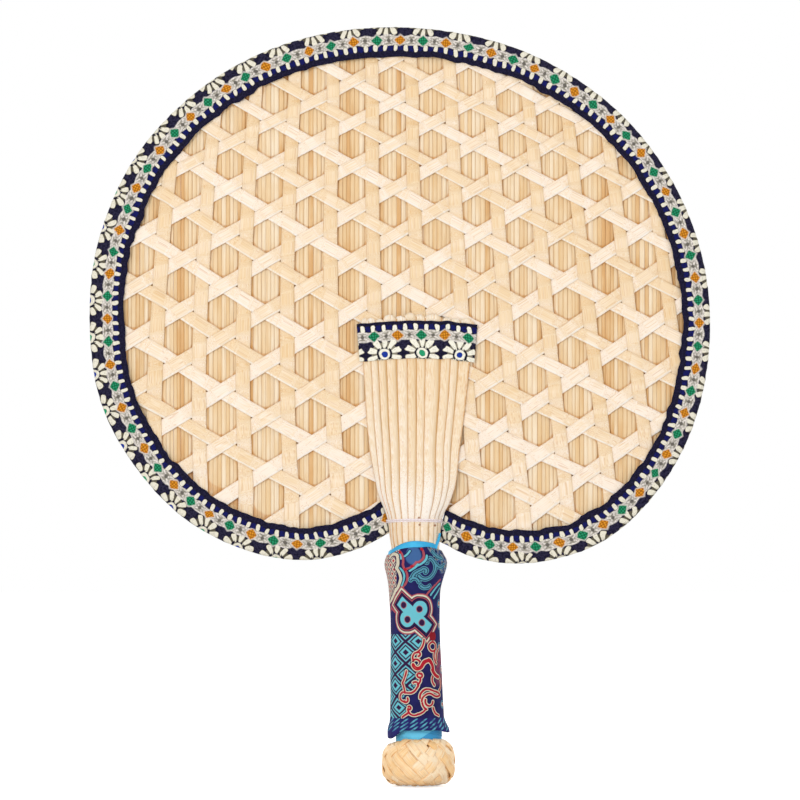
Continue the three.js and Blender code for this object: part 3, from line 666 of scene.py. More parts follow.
def arcThrough(start, middle, end):  # centre, radius, aim and half turn of the arc through three places
    (ax, ay), (bx, by), (cx, cy) = start, middle, end
    twice = 2 * (ax * (by - cy) + bx * (cy - ay) + cx * (ay - by))
    sizes = [x * x + y * y for x, y in (start, middle, end)]
    x = (sizes[0] * (by - cy) + sizes[1] * (cy - ay) + sizes[2] * (ay - by)) / twice
    y = (sizes[0] * (cx - bx) + sizes[1] * (ax - cx) + sizes[2] * (bx - ax)) / twice
    aim = math.atan2(by - y, bx - x)
    turns = [abs(math.remainder(math.atan2(v - y, u - x) - aim, 2 * math.pi)) for u, v in (start, end)]
    return {"MidAlong": x, "MidAcross": y, "Radius": math.dist((x, y), middle), "Aim": aim,
            "HalfTurn": sum(turns) / 2}


def strokesOf(u, v, chains):  # how far a point is from the nearest of these strokes
    near = None
    for chain in chains:
        for arc in zip(chain[::2], chain[1::2], chain[2::2]):
            apart = useGroup(arcStroke, Along=u, Across=v, **arcThrough(*arc))[0]
            near = calc("MINIMUM", near, apart) if near else apart
    return near


def lineThrough(value, points):  # a smooth line through places, as a curve of the second by the first
    (low, span), (bottom, rise) = spans = [(min(way), max(way) - min(way)) for way in zip(*points)]
    curve = wired("ShaderNodeFloatCurve", {"Value": (value - low) / span})[0]
    mapping = curve.socket.node.mapping
    knots = mapping.curves[0].points
    spots = sorted([(way - least) / size for way, (least, size) in zip(point, spans)] for point in points)
    for spot in spots[1:-1]:
        knots.new(*spot)
    knots[0].location, knots[-1].location = spots[0], spots[-1]
    mapping.update()
    return curve * rise + bottom


def brocadeMaterial(name, look):
    material, shader = newMaterial(name, look["roughness"], look["specular"])
    along, across = mapOf(material)
    half = look["turnLength"] / 2
    u = calc("WRAP", along, half, -half)
    wander = cloudy(along * look["wanderSize"], across * look["wanderSize"], detail=1.0)
    v = across + (wander - 0.5) * look["wander"]
    cloth = useGroup(threadWeave, Along=along, Across=across, Pitch=look["threadPitch"])[0]
    colour = blend(wander, look["deep"], look["navy"])

    def stopsOf(key):
        return [(stop, look[code]) for stop, code in look[key]]

    def sharesOf(x, y, key):
        ways = zip((x, y), look[key + "At"], look[key + "Half"])
        return [(way - middle) / half for way, middle, half in ways]

    def awayFrom(spot):
        return lengthOf(u - spot[0], v - spot[1])

    def banded(base, distance, bands, soft=look["soft"]):
        for low, high, code in bands:
            inside = between(distance, low - soft, low + soft, high - soft, high + soft)
            base = blend(inside, base, look[code])
        return base

    # diamond lattice, low on the left
    bent = u - step(v, *look["latticeBend"])
    p, q = sharesOf(bent, v, "lattice")
    slants = [abs(calc("WRAP", slant, 1.0, -1.0)) for slant in (p + q, p - q)]
    lattice = ramp(calc("MAXIMUM", *slants), stopsOf("latticeRings"))
    leftOf = fade(u - lineThrough(v, look["latticeEdge"]), *look["latticeSoft"])
    colour = blend(leftOf * fade(v, *look["latticeTop"]), colour, lattice)

    # slate leaf at the top, checks and dusk in its corners, rosy wash and buds on the right
    p, q = sharesOf(u, v, "leaf")
    colour = blend(fade(p * p + q * q, *look["leafEdge"]), colour, look["slate"])
    wide, lean = look["check"]
    cells = [abs(calc("FRACT", u * wide + v * way) - 0.5) for way in (lean, -lean)]
    lean, leftwards, upwards = look["corner"]
    corner = step(v * lean - u, *leftwards) * step(v, *upwards)
    colour = blend(corner, colour, ramp(calc("MAXIMUM", *cells), stopsOf("checkRings")))
    speckle = cloudy(u * look["speckle"][0], v * look["speckle"][1], detail=1.5)
    lean, rightwards, upwards = look["dusk"]
    corner = step(v * lean + u, *rightwards) * step(v, *upwards)
    colour = blend(corner, colour, ramp(speckle, stopsOf("duskStops")))
    washed = step(u, *look["washRight"]) * step(speckle, *look["wash"])
    colour = blend(washed * between(v, *look["washHeights"]), colour, look["rose"])
    for spot in look["buds"]:
        colour = banded(colour, awayFrom(spot), look["budBands"])

    # curls and bars on the right, vine and cream band on the left
    for strokes, bands in look["drawn"]:
        colour = banded(colour, strokesOf(u, v, look[strokes]), bands)
    for spot in look["vineDots"]:
        colour = banded(colour, awayFrom(spot), ((-1.0, look["vineDot"], "red"),))

    # flower: two round lobes on a slanting arm, with nested outlines
    lobes = [awayFrom(spot) - size for spot, size in look["flowerLobes"]]
    (x, y), turn, reach, wide = look["flowerArm"]
    c, s = turnAt(turn / 360)
    du, dv = u - x, v - y
    arm = calc("MAXIMUM", abs(du * c + dv * s) - reach, abs(dv * c - du * s) - wide)
    far = calc("MINIMUM", calc("MINIMUM", *lobes), arm)
    colour = banded(colour, far, look["flowerBands"], look["flowerSoft"])
    for spot in look["flowerDots"]:
        colour = banded(colour, awayFrom(spot), look["dotBands"])

    # red scrolls and a berry, low on the right
    for strokes, bands in look["redStrokes"]:
        colour = banded(colour, strokesOf(u, v, look[strokes]), bands)
    spot, size, soft = look["berry"]
    colour = banded(colour, awayFrom(spot), ((-1.0, size, "blood"),), soft)

    # wavy vine over the seam at the back, and slanting strokes in rows on the hem
    wave = calc("SINE", v * look["seamWave"][1]) * look["seamWave"][0]
    apart = abs(calc("WRAP", along - half, half, -half) - wave)
    colour = banded(colour, apart, look["seamBands"])
    hem = blend(wander, look["deep"], look["hemNavy"])
    worn = step(cloudy(along * look["wornSize"][0], across * look["wornSize"][1]), *look["hemWorn"])
    halfLength, halfHeight, power, soft = look["hemStroke"]
    for number, middle in enumerate(look["hemRows"]):
        dab = useGroup(
            motifRow, Along=along - across * look["hemSlant"], Across=across, Period=look["hemPitch"],
            Phase=number * look["hemShift"] * look["hemPitch"], Centre=middle, HalfLength=halfLength,
            HalfHeight=halfHeight, Power=power, Soft=soft)[0]
        hem = blend(dab * worn, hem, look["rope"])
    colour = blend(fade(across, *look["hemEdge"]), colour, hem)
    colour = blend((1.0 - cloth) * look["threadShade"], colour, look["deep"])
    finishLook(shader, colour, cloth, look["bump"])
    return material


sleeveBrocade = brocadeMaterial("sleeveBrocade", brocadeLook)
print("sleeve material made")

# Plain cloths: satin tape and lashing thread
satinLook = {
    "light": "4cc5f3", "dark": "2fa9df", "ribHighlight": "70d0f4", "fold": "2f93d2", "foldLean": 1.56, "foldAt": 71.7,
    "foldShadeEdge": (-0.3, 0.5), "foldShadeLow": (-41.0, -40.0, 0.8, 0.0), "foldShadeFront": (-1.0, 1.0),
    "paintedLightLow": "80deff", "low": (-41.0, -39.0, 0.6, 0.0), "threadPitch": 0.3, "ribShare": 0.25,
    "sheenSize": (0.08, 0.3), "sheenEdge": (0.35, 0.65), "roughness": 0.5, "specular": 0.2, "bump": 0.00004,
}
blueSatin, shader = newMaterial("blueSatin", satinLook["roughness"], satinLook["specular"])
along, across = mapOf(blueSatin)
ribs = useGroup(threadWeave, Along=along, Across=across, Pitch=satinLook["threadPitch"])[0]
long, wide = satinLook["sheenSize"]
sheen = step(cloudy(along * long, across * wide), *satinLook["sheenEdge"])
colour = blend(sheen, satinLook["dark"], satinLook["light"])
# painted highlight on the thread ribs
colour = blend(ribs * satinLook["ribShare"], colour, satinLook["ribHighlight"])
x, y, z = objectPlace(blueSatin)
# painted light: the tape's lowest turn is lighter, against the shade of the sleeve's hem and the knob
colour = blend(step(z, *satinLook["low"]), colour, satinLook["paintedLightLow"])
# painted shade: the low turn is darker beyond a slanting fold line on the front
foldShade = step(x - z * satinLook["foldLean"] - satinLook["foldAt"], *satinLook["foldShadeEdge"])
foldShade = foldShade * step(z, *satinLook["foldShadeLow"]) * fade(y, *satinLook["foldShadeFront"])
finishLook(shader, blend(foldShade, colour, satinLook["fold"]), ribs, satinLook["bump"])

threadLook = {"light": "fbf1f1", "dark": "f3e2e4", "ply": 1.3, "plyEdge": (-0.9, 0.2), "roughness": 0.7,
              "specular": 0.2, "bump": 0.00005}
lashThread, shader = newMaterial("lashThread", threadLook["roughness"], threadLook["specular"])
along, across = mapOf(lashThread)
ply = calc("SINE", (along / threadLook["ply"] + across) * (2 * math.pi))
# painted shade: darker in the grooves between the plies, lighter on their crests
colour = blend(step(ply, *threadLook["plyEdge"]), threadLook["dark"], threadLook["light"])
finishLook(shader, colour, ply, threadLook["bump"])
print("cloth materials made")

# Blade outline, anticlockwise from the neck's right side, on a box two units wide and high
blade = {
    "width": 297.6, "height": 257.4, "centre": (-8.4, 167.05), "neck": ((12.0, 48.25), (-12.0, 53.65)),
    "cleft": (15.4, 66.0), "steps": 480, "perSpan": 24,
    "shape": (
        (0.231, -0.974), (0.359, -1), (0.5, -0.984), (0.661, -0.914), (0.809, -0.763), (0.933, -0.53),
        (0.997, -0.234), (0.987, 0.093), (0.89, 0.408), (0.702, 0.692), (0.406, 0.91), (0.043, 1),
        (-0.306, 0.961), (-0.595, 0.812), (-0.837, 0.544), (-0.965, 0.233), (-1, -0.04), (-0.972, -0.367),
        (-0.874, -0.604), (-0.696, -0.83), (-0.481, -0.956), (-0.293, -0.987), (-0.135, -0.946),
    ),
}
(midX, midZ), halfWidth, halfHeight = blade["centre"], blade["width"] / 2, blade["height"] / 2
outline = [(midX + x * halfWidth, midZ + z * halfHeight) for x, z in blade["shape"]]
outline = [blade["neck"][0], *outline, blade["neck"][1]]
rim, rimLength = evenly(spline([Vector((x, 0, z)) for x, z in outline], blade["perSpan"]), blade["steps"])
inward = []
for i in range(len(rim)):
    way = (rim[min(i + 1, blade["steps"])] - rim[max(i - 1, 0)]).normalized()
    inward.append(Vector((-way.z, 0, way.x)))


def insetRim(inset):
    return [rim[i] + inward[i] * inset for i in range(0, len(rim), 3)]


def insideRim(edge, x, z):
    if abs(x) < blade["cleft"][0] and z < blade["cleft"][1]:
        return False
    crossings = 0
    for a, b in zip(edge, edge[1:] + edge[:1]):
        if (a.z > z) != (b.z > z) and x < (b.x - a.x) * (z - a.z) / (b.z - a.z) + a.x:
            crossings += 1
    return crossings % 2 == 1


# Weave: each strip bends over one family and under the other
flatBand = [(-1, 0), (-0.94, -1), (-0.5, -1), (0, -1), (0.5, -1), (0.94, -1),
            (1, 0), (0.94, 1), (0.5, 1), (0, 1), (-0.5, 1), (-0.94, 1)]


def latticeAt(family, offset, along):
    c, s = math.cos(family["angle"]), math.sin(family["angle"])
    return offset * c - along * s, offset * s + along * c


def weavePlace(p, q):
    scale = weave["pitch"] / (1 + weave["spread"][0] * p + weave["spread"][1] * q)
    c, s = math.cos(weave["turn"]), math.sin(weave["turn"])
    spot = scale * (c * p - s * q), scale * (s * p + c * q)
    held = [min(max(way / weave["driftUnit"], -limit), limit)
            for way, limit in zip(spot, weave["driftLimits"])]
    terms = [held[0] ** i * held[1] ** j for i, j in weave["driftTerms"]]
    return [centre + way + sum(map(math.prod, zip(terms, moves)))
            for centre, way, moves in zip(weave["centre"], spot, (weave["driftAcross"], weave["driftUp"]))]


def lineGap(family, p, q):  # how far the nearest strip of a family is, in pitches
    line = p * math.cos(family["angle"]) + q * math.sin(family["angle"]) - family["phase"]
    return abs(line - round(line))


def halved(test, inside, outside, rounds=16):
    for _ in range(rounds):
        middle = (inside + outside) / 2
        if test(middle):
            inside = middle
        else:
            outside = middle
    return inside


def layStrip(name, family, offset, tone, straw):
    lowest, highest = [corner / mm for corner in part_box(name)]
    axis = family["axis"]

    def flatPlace(along, across=0.0):
        return weavePlace(*latticeAt(family, offset + across * family["half"] / weave["pitch"], along))

    rising = flatPlace(1)[axis] > flatPlace(-1)[axis]
    bounds = [lowest[0], highest[0]] if axis == 0 else [lowest[2], highest[2]]
    reach = weave["farthest"]
    ends = sorted(halved(lambda a: (flatPlace(a)[axis] < bound) == rising, -reach, reach) for bound in bounds)
    middle = (ends[0] + ends[1]) / 2
    cuts = [
        [halved(lambda a: insideRim(stripEdge, *flatPlace(a, side)), middle, end + reach) for side in (-1, 1)]
        for end, reach in zip(ends, (-weave["overrun"], weave["overrun"]))]
    over, under = (weave["families"][family[way]] for way in ("over", "under"))
    drift = newDrift()

    def lifted(far, side):  # place on the blade, and how far behind the weave's middle
        swell = 1 + weave["swell"] * ripple(far * weave["swellWaves"], drift)
        wander = weave["waver"] * ripple(far * weave["waverWaves"], drift + 5)
        p, q = latticeAt(family, offset + (side * swell * family["half"] + wander) / weave["pitch"], far)
        gaps = lineGap(over, p, q), lineGap(under, p, q)
        share = ease(gaps[0] / (sum(gaps) + 1e-6), *weave["liftShare"])
        buckle = weave["buckle"] * ripple(far * weave["buckleWaves"], drift + 9)
        return *weavePlace(p, q), lerp(-weave["lift"], weave["lift"], share) + buckle

    def farAt(along, side):
        share = (side + 1) / 2
        return lerp(lerp(*cuts[0], share), lerp(*cuts[1], share), along)

    def place(along, around):
        side, face = onRing(flatBand, around)
        x, z, lift = lifted(farAt(along, side), side)
        crown = weave["crown"] * (1 - side * side)
        return x, weave["level"] + lift + face * weave["thickness"] / 2 - crown, z

    def toneAt(along, around):  # painted light: paler where the strip leans back as it rises, as if lit from below; also paler low on the blade
        side, face = onRing(flatBand, around)
        far, reach = farAt(along, side), weave["slopeReach"]
        (_, z0, lift0), (_, z1, lift1) = lifted(far - reach, side), lifted(far + reach, side)
        low = weave["lowTone"] * ease(weave["lowFrom"] - z0, 0, weave["lowReach"])
        return tone + low - family["slope"] * (lift1 - lift0) / (z1 - z0)

    def uvOf(along, around):
        far = lerp(cuts[0][0], cuts[1][0], along)
        return far * weave["pitch"], onRing(flatBand, around)[0] * stripLook["half"]

    steps = int((ends[1] - ends[0]) * weave["pitch"] / weave["step"])
    sweptPiece(name.replace("weave", "strip"), straw, "weave_straw", name,
               steps, len(flatBand), place, uvOf, toneAt)


stripEdge = insetRim(weave["inset"])
for familyName, family in weave["families"].items():
    # each family has its own strength of painted highlight on the lower edge
    straw = strawMaterial(familyName + "Straw", {**stripLook, "edge": family["edgeHighlight"]})[0]
    for number in range(family["count"]):
        tone = family["tones"][number % 2] + weave["toneSpread"] * seeded.uniform(-1, 1)
        offset = family["first"] + number + family["phase"]
        layStrip(f"weave_{familyName}_{number + 1:02d}", family, offset, tone, straw)

# Mat: round reeds side by side, each cut to the blade
mat = {
    "pitch": 2.0, "uneven": 0.26, "centre": 0.895, "half": 0.52, "shadedStitch": 0.52, "inset": 4.0, "waver": 0.14,
    "bend": 0.05, "steps": 18, "sides": 12, "square": 0.62, "least": 8, "ends": (-155.5, 138.5),
    "cleft": 13.5, "waverLength": 40, "bendLength": 25, "toneShape": (2.6, 2.0),
}
matEdge = insetRim(mat["inset"])


def bladeSpan(edge, x):
    heights = [lerp(a.z, b.z, (x - a.x) / (b.x - a.x)) for a, b in zip(edge, edge[1:] + edge[:1])
               if (a.x > x) != (b.x > x)]
    bottom = blade["cleft"][1] if abs(x) < mat["cleft"] else min(heights, default=0)
    return bottom, max(heights, default=0)


form = newForm()
left = mat["ends"][0]
while left < mat["ends"][1]:
    width = mat["pitch"] * (1 + mat["uneven"] * seeded.uniform(-1, 1))
    drift, tone = newDrift(), seeded.betavariate(*mat["toneShape"])
    if seeded.random() < reedLook["rare"]:
        tone *= reedLook["rareTone"]
    middle = left + width / 2
    bottom, top = bladeSpan(matEdge, middle)
    left += width
    if top - bottom < mat["least"]:
        continue

    def reedPlace(along, around):
        side, depth = [math.copysign(abs(way) ** mat["square"], way) for way in turnAt(around)]
        z = lerp(bottom, top, along)
        waver = mat["waver"] * ripple(z / mat["waverLength"], drift)
        bend = mat["bend"] * ripple(z / mat["bendLength"], drift + 3)
        return middle + mat["shadedStitch"] * width * side + waver, mat["centre"] + mat["half"] * depth + bend, z

    def reedUv(along, around):
        return lerp(bottom, top, along) + drift, reedLook["half"] * turnAt(around)[0]

    sweep(form, mat["steps"], mat["sides"], reedPlace, reedUv, tone)
finishPiece("reeds", form, matReed, "reed", "reed_mat")
print("mat laid")

# Neck: the handle leans a little, and straws, tape and cloth are drawn in at its top
neck = {
    "lean": -0.0185, "upright": (50, 80), "bow": (-0.7, (-43, -34), (24, 37)),
    "right": (0.07, (40.5, 46), (58, 80)), "left": (0.035, (40.5, 45), (50, 64)),
    "spreadRight": (0.05, (60, 68), (74, 95)), "spreadLeft": (0.11, (60, 76), (82, 150)),
}


def neckChange(key, z):
    amount, begins, ends = neck[key]
    return amount * ease(z, *begins) * (1 - ease(z, *ends))


def settled(x, z):
    drawn, spread = ("right", "spreadRight") if x > 0 else ("left", "spreadLeft")
    x *= (1 - neckChange(drawn, z)) * (1 + neckChange(spread, z))
    return x + neckChange("bow", z) + neck["lean"] * z * (1 - ease(z, *neck["upright"]))


# Splints: flat over the blade, closing to an arc round the head of the core
splint = {
    "top": 158.0, "bottom": 37.75, "foot": 46.55, "flatten": 55, "arc": math.radians(74),
    "neckHalf": 12.0, "fanHalf": 27.3, "flatDepth": 1.945, "radius": 12.484, "edgeDepth": 3.441,
    "half": 0.21, "tilt": 0.24, "cup": 0.08, "waver": (0.02, 0.08), "waverLengths": (30, 22), "overlap": 0.03,
    "stagger": 2.0, "rounded": 2.2, "crown": 2.6, "level": 0.4, "steps": 60, "bulge": 2.1,
    "pinch": (1.2, 59.5, 7.0),
    "cuts": (-1, -0.875, -0.745, -0.585, -0.39, -0.21, -0.04, 0.13, 0.413, 0.6, 0.755, 1),
    "tones": (0.74, 0.82, 0.62, 0.72, 0.76, 0.58, 0.6, 0.72, 0.62, 0.8, 0.66), "toneSpread": 0.06,
    "browned": (0.1, 0.4, 0.4, 0.4, 0.1, 0.3, 0.1, 0.4, 0.1, 0.4, 0), "edgeShadeFrom": (0.3, 1.0),
    "pale": (1.5, 0.6, 0.4, 0.6, 1.6, 1.2, 0.4, 1.5, 0.6, 0.7, 0.8), "paleReach": (0.15, 0.42),
    "threadEdge": (56.5, 62.0), "underThread": -0.15, "paleAboveThread": 0.45, "paleToFoot": (0.55, 0.45),
    "paleTip": 0.35, "tipFrom": (0.955, 0.975),
}


def splintHalf(z):
    share = max(z - splint["foot"], 0) / (splint["top"] - splint["foot"])
    bulge = splint["bulge"] * 4 * share * (1 - share)
    depth, height, reach = splint["pinch"]
    pinch = depth * math.exp(-((z - height) / reach) ** 2)
    return lerp(splint["neckHalf"], splint["fanHalf"], share) + bulge - pinch


def splintPlace(across, z, side, out=0.0):
    closing = 1 - ease(z, splint["foot"], splint["foot"] + splint["flatten"])
    angle = across * splint["arc"]
    share = lerp(across, math.sin(angle) / math.sin(splint["arc"]), closing)
    depth = lerp(splint["flatDepth"], splint["edgeDepth"], closing)
    depth += splint["radius"] * closing * (math.cos(angle) - math.cos(splint["arc"]))
    lean = Vector((math.sin(angle) * closing, lerp(1, math.cos(angle), closing))).normalized()
    return settled(share * splintHalf(z) + out * lean.x, z), side * (depth + out * lean.y), z


def laySplint(name, node, i, side):
    left, right = splint["cuts"][i:i + 2]
    arch = splint["crown"] * (splint["level"] - ((left + right) / 2) ** 2)
    top = splint["top"] + arch - splint["stagger"] * seeded.random()
    drift = newDrift()
    tone = splint["tones"][i] + splint["toneSpread"] * seeded.uniform(-1, 1)
    left -= splint["overlap"] * (i > 0)
    right += splint["overlap"] * (i < len(splint["tones"]) - 1)
    sideWaver, outWaver = splint["waver"]
    sideLength, outLength = splint["waverLengths"]

    def place(along, around):
        way, face = onRing(flatBand, around)
        z = lerp(splint["bottom"], top - splint["rounded"] * way * way, along)
        across = lerp(left, right, (way + 1) / 2) + sideWaver * ripple(z / sideLength, drift)
        out = splint["tilt"] * way - face * splint["half"] - splint["cup"] * way * way
        return splintPlace(across, z, side, out + outWaver * ripple(z / outLength, drift + 4))

    def uvOf(along, around):
        way = onRing(flatBand, around)[0]
        return lerp(splint["bottom"], top, along) + drift, way * splintLook["half"]

    def toneAt(along, around):
        # paler just above the thread and towards the foot, partly painted light against the shade where the
        # splints curve in to the neck
        above = ease(lerp(splint["bottom"], top, along), *splint["threadEdge"])
        pale = splint["pale"][i] * splint["paleAboveThread"] * (1 - ease(along, *splint["paleReach"]))
        change = lerp(splint["underThread"], pale, above)
        change += splint["paleTip"] * ease(along, *splint["tipFrom"])
        # painted shade along the right edge of some splints
        change -= splint["browned"][i] * ease(onRing(flatBand, around)[0], *splint["edgeShadeFrom"])
        amount, middle = splint["paleToFoot"]
        return tone + amount * (middle - along) + change

    sweptPiece(name, splintStraw, "splint_straw", node, splint["steps"], len(flatBand), place, uvOf, toneAt)


for i in range(len(splint["tones"])):
    laySplint(f"splint_front_{i + 1:02d}", f"front_splint_{i + 1:02d}", i, -1)
for i in range(len(splint["tones"])):
    laySplint(f"splint_back_{i + 1:02d}", "back_splints", i, 1)
print("splints laid")

# Edge binding: the ribbon folded over the rim, puckered a little along its inner edges
binding = {
    "width": 15.0, "sway": 1.7, "swayTurn": math.radians(26), "fold": 2.2, "inside": 1.645, "thickness": 0.55,
    "pucker": 0.4, "wave": 1.5, "outerWave": 0.3, "tuck": (3.4, 2.6), "tuckReach": 16.0, "under": 2.2,
    "narrow": 0.09, "firstDiamond": 9, "cutWidth": 31.0, "puckerLength": 6.5, "waveLengths": (15, 4.4),
    "fineWave": 0.55, "outerLength": 3.4, "outerRise": 0.4,
    # how far round the rim, and how many diamonds lie before
    "diamonds": ((1.6, -1), (9, 0), (122, 9), (350, 29), (580, 49), (695, 59), (816, 69), (867, 73),
                 (877, 74)),
}
halfOuter = [0.0, 0.035, 0.07, 0.105, 0.147, 0.22, 0.32, 0.44, 0.56, 0.68, 0.8, 0.9, 0.965, 1.0]
halfInner = [1.0, 0.6, 0.147, 0.07]
bindingRing = [(-share, 1) for share in halfOuter[::-1]] + [(share, 1) for share in halfOuter[1:]]
bindingRing += [(1.012, 0.5)] + [(share, 0) for share in halfInner] + [(0.0, 0)]
bindingRing += [(-share, 0) for share in halfInner[::-1]] + [(-1.012, 0.5)]
swayWay = Vector((math.cos(binding["swayTurn"]), 0, math.sin(binding["swayTurn"])))


def bindingWidth(i):
    return binding["width"] + binding["sway"] * inward[i].dot(swayWay)


def bindingPlace(along, around):
    i = round(along * blade["steps"])
    share, layer = onRing(bindingRing, around)
    width, side = bindingWidth(i), -1 if share < 0 else 1
    far, reach = abs(share) * width, along * rimLength
    bend = min(far / binding["fold"], 1) * math.pi / 2
    start, end = [1 - ease(apart, 0, binding["tuckReach"]) for apart in (reach, rimLength - reach)]
    inset = binding["fold"] * (1 - math.cos(bend))
    if far > binding["fold"]:
        inset = far - binding["narrow"] * start * (far - binding["fold"])
    inset += (1 - layer) * binding["thickness"] * math.cos(bend)
    depth = (binding["inside"] + layer * binding["thickness"]) * math.sin(bend)
    inner, outer = (far / width) ** 2, (1 - far / width) ** 2
    pucker = (1 + ripple(reach / binding["puckerLength"], 3 * side)) / 2
    depth += binding["pucker"] * inner * pucker * math.sin(bend)
    coarse, fine = binding["waveLengths"]
    wave = ripple(reach / coarse, 7 + side) + binding["fineWave"] * ripple(reach / fine, side)
    inset += binding["wave"] * inner * wave
    inset += binding["outerWave"] * outer * (ripple(reach / binding["outerLength"], 2) + binding["outerRise"])
    tuck = start * binding["under"] + (start * binding["tuck"][0] - end * binding["tuck"][1]) * far / width
    forward = Vector((inward[i].z, 0, -inward[i].x))
    spot = rim[i] + inward[i] * inset - forward * tuck
    return spot.x, side * depth, spot.z


def stretched(reach):  # the ribbon was sewn on with more pull near the neck
    spots = binding["diamonds"]
    spans = [(a, b) for a, b in zip(spots, spots[1:]) if reach < b[0]] or [spots[-2:]]
    (low, first), (high, last) = spans[0]
    count = lerp(first, last, (reach - low) / (high - low))
    return binding["firstDiamond"] + count * ribbonLook["diamondPeriod"]


def bindingUv(along, around):
    i = round(along * blade["steps"])
    share = onRing(bindingRing, around)[0]
    return stretched(along * rimLength), bindingWidth(i) * (1 - min(abs(share), 1))


bound = sweptPiece("rim_ribbon", jacquardRibbon, "brocade", "edge_binding",
                   blade["steps"], len(bindingRing), bindingPlace, bindingUv)
rimLength * mm
print("rim bound,", round(rimLength), "mm round")

# Trim: a short length of the same ribbon over the splint ends, front and back
trim = {
    "top": 152.9, "height": 17.8, "cutLength": 57.5, "overlap": 2.0, "arch": 2.0, "inside": 2.6, "foot": 1.9,
    "thickness": 0.5, "hidden": 1.3, "stretch": 0.975, "steps": 72, "puckers": 0.14, "sway": 0.75,
    "puckerLengths": (4.5, 9), "swayLength": 6, "frontPhase": -2.85, "backPhase": 9.0,
    "pressedFrom": 0.92, "rows": (0, 0.04, 0.12, 0.22, 0.34, 0.46, 0.58, 0.7, 0.82, 0.92, 0.97, 1),
}
trimRing = [(row, 1) for row in trim["rows"]] + [(1.01, 0.5)]
trimRing += [(row, 0) for row in (1, 0.7, 0.4, 0)] + [(-0.01, 0.5)]


def sewTrim(name, node, side, phase):
    def place(along, around):
        row, layer = onRing(trimRing, around)
        across = 2 * along - 1
        z = trim["top"] - trim["height"] * row
        x = across * (splintHalf(z) + trim["overlap"])
        long, tall = trim["puckerLengths"]
        depth = trim["inside"] + layer * trim["thickness"]
        depth += trim["puckers"] * ripple(x / long, z / tall, side)
        pressed = trim["foot"] + 0.5 * layer * trim["thickness"]
        depth = lerp(depth, pressed, ease(abs(across), trim["pressedFrom"], 1))
        rise = trim["arch"] * (1 - across * across) + trim["sway"] * ripple(x / trim["swayLength"], side * 4)
        return x, side * depth, z + rise

    def uvOf(along, around):
        row = onRing(trimRing, around)[0]
        half = splintHalf(trim["top"] - trim["height"] * row) + trim["overlap"]
        return (2 * along - 1) * half * trim["stretch"] + phase, row * trim["height"] + trim["hidden"]

    patch = sweptPiece(name, trimRibbon, "brocade", node, trim["steps"], len(trimRing), place, uvOf)


sewTrim("trim_front", "front_trim", -1, trim["frontPhase"])
sewTrim("trim_back", "back_trim", 1, trim["backPhase"])
print("trim sewn on")

# Lashing thread: two turns of two-ply thread round both halves of the clamp
lash = {
    "middle": 59.5, "radius": 0.34, "pitch": 0.78, "turns": 2, "steps": 66, "sides": 8, "out": 0.6,
    "arch": (0.7, 0.35), "sideGap": 0.5, "turnsOver": (0.9, 1.0), "ply": 0.08, "plyTurns": 30 / 2.6,
    "girth": 78, "drawnOver": 0.8, "flattened": 0.75,
}


def lashPoint(turn):
    half = splintHalf(lash["middle"])
    front, across = turnAt(turn)  # across goes from one side of the neck to the other, and back
    side = 1 if front > 0 else -1
    x, y, z = splintPlace(across, lash["middle"], side, lash["out"])
    flat = ease(abs(across), *lash["turnsOver"])
    x = lerp(x, settled(math.copysign(half + lash["sideGap"], across), z), flat * lash["drawnOver"])
    y *= 1 - lash["flattened"] * flat ** 2
    z += lash["pitch"] * (turn - lash["turns"] / 2) - lash["arch"][side > 0] * (x / half) ** 2
    return Vector((x, y, z))


def lashPlace(along, around):
    turn = along * lash["turns"]
    nudge = 0.002
    way = (lashPoint(turn + nudge) - lashPoint(turn - nudge)).normalized()
    out = way.cross(Vector((0, 0, 1))).normalized()
    c, s = turnAt(around)
    size = lash["radius"] * (1 + lash["ply"] * turnAt(2 * around - turn * lash["plyTurns"])[0])
    return lashPoint(turn) + out * size * c + out.cross(way) * size * s


sweptPiece("lashing", lashThread, "thread", "lashing_thread", lash["turns"] * lash["steps"], lash["sides"],
           lashPlace, lambda along, around: (along * lash["turns"] * lash["girth"], around))
print("thread wound")

# Grip: blue tape wound on the stick, seen above and below the cloth sleeve
grip = {"waist": 10.1, "waistHeight": 7.0, "foot": 10.7, "splintOutside": 12.784, "shoulder": (19.75, 37.75),
        "bottom": -44.25}


def gripRadius(z):
    shoulder = (grip["splintOutside"] - grip["waist"]) * ease(z, *grip["shoulder"])
    below, height = grip["waistHeight"] - z, grip["waistHeight"] - grip["bottom"]
    return grip["waist"] + shoulder + (grip["foot"] - grip["waist"]) * ease(below, 0, height)


tape = {
    "width": 10.8, "half": 0.1, "cutLength": 700, "turns": 9, "steps": 48, "girth": 75, "low": -42.2,
    "high": 44.2, "seat": 0.22, "layer": 0.2, "laps": (0.9, 1.1), "secondTurn": (2, 2.4), "lastTurn": 0.4,
    "overSplints": 0.14, "arch": (5.4, 2.4), "drop": (3.0, 0.74, 0.95),
}
tail = {"heights": (45.8, 53.2), "across": (0.7, 0.84), "out": (0.65, 1.2), "turnsOut": (0.1, 0.6),
        "half": (0.95, 0.5), "tilt": 0.2, "length": 11, "steps": 20}


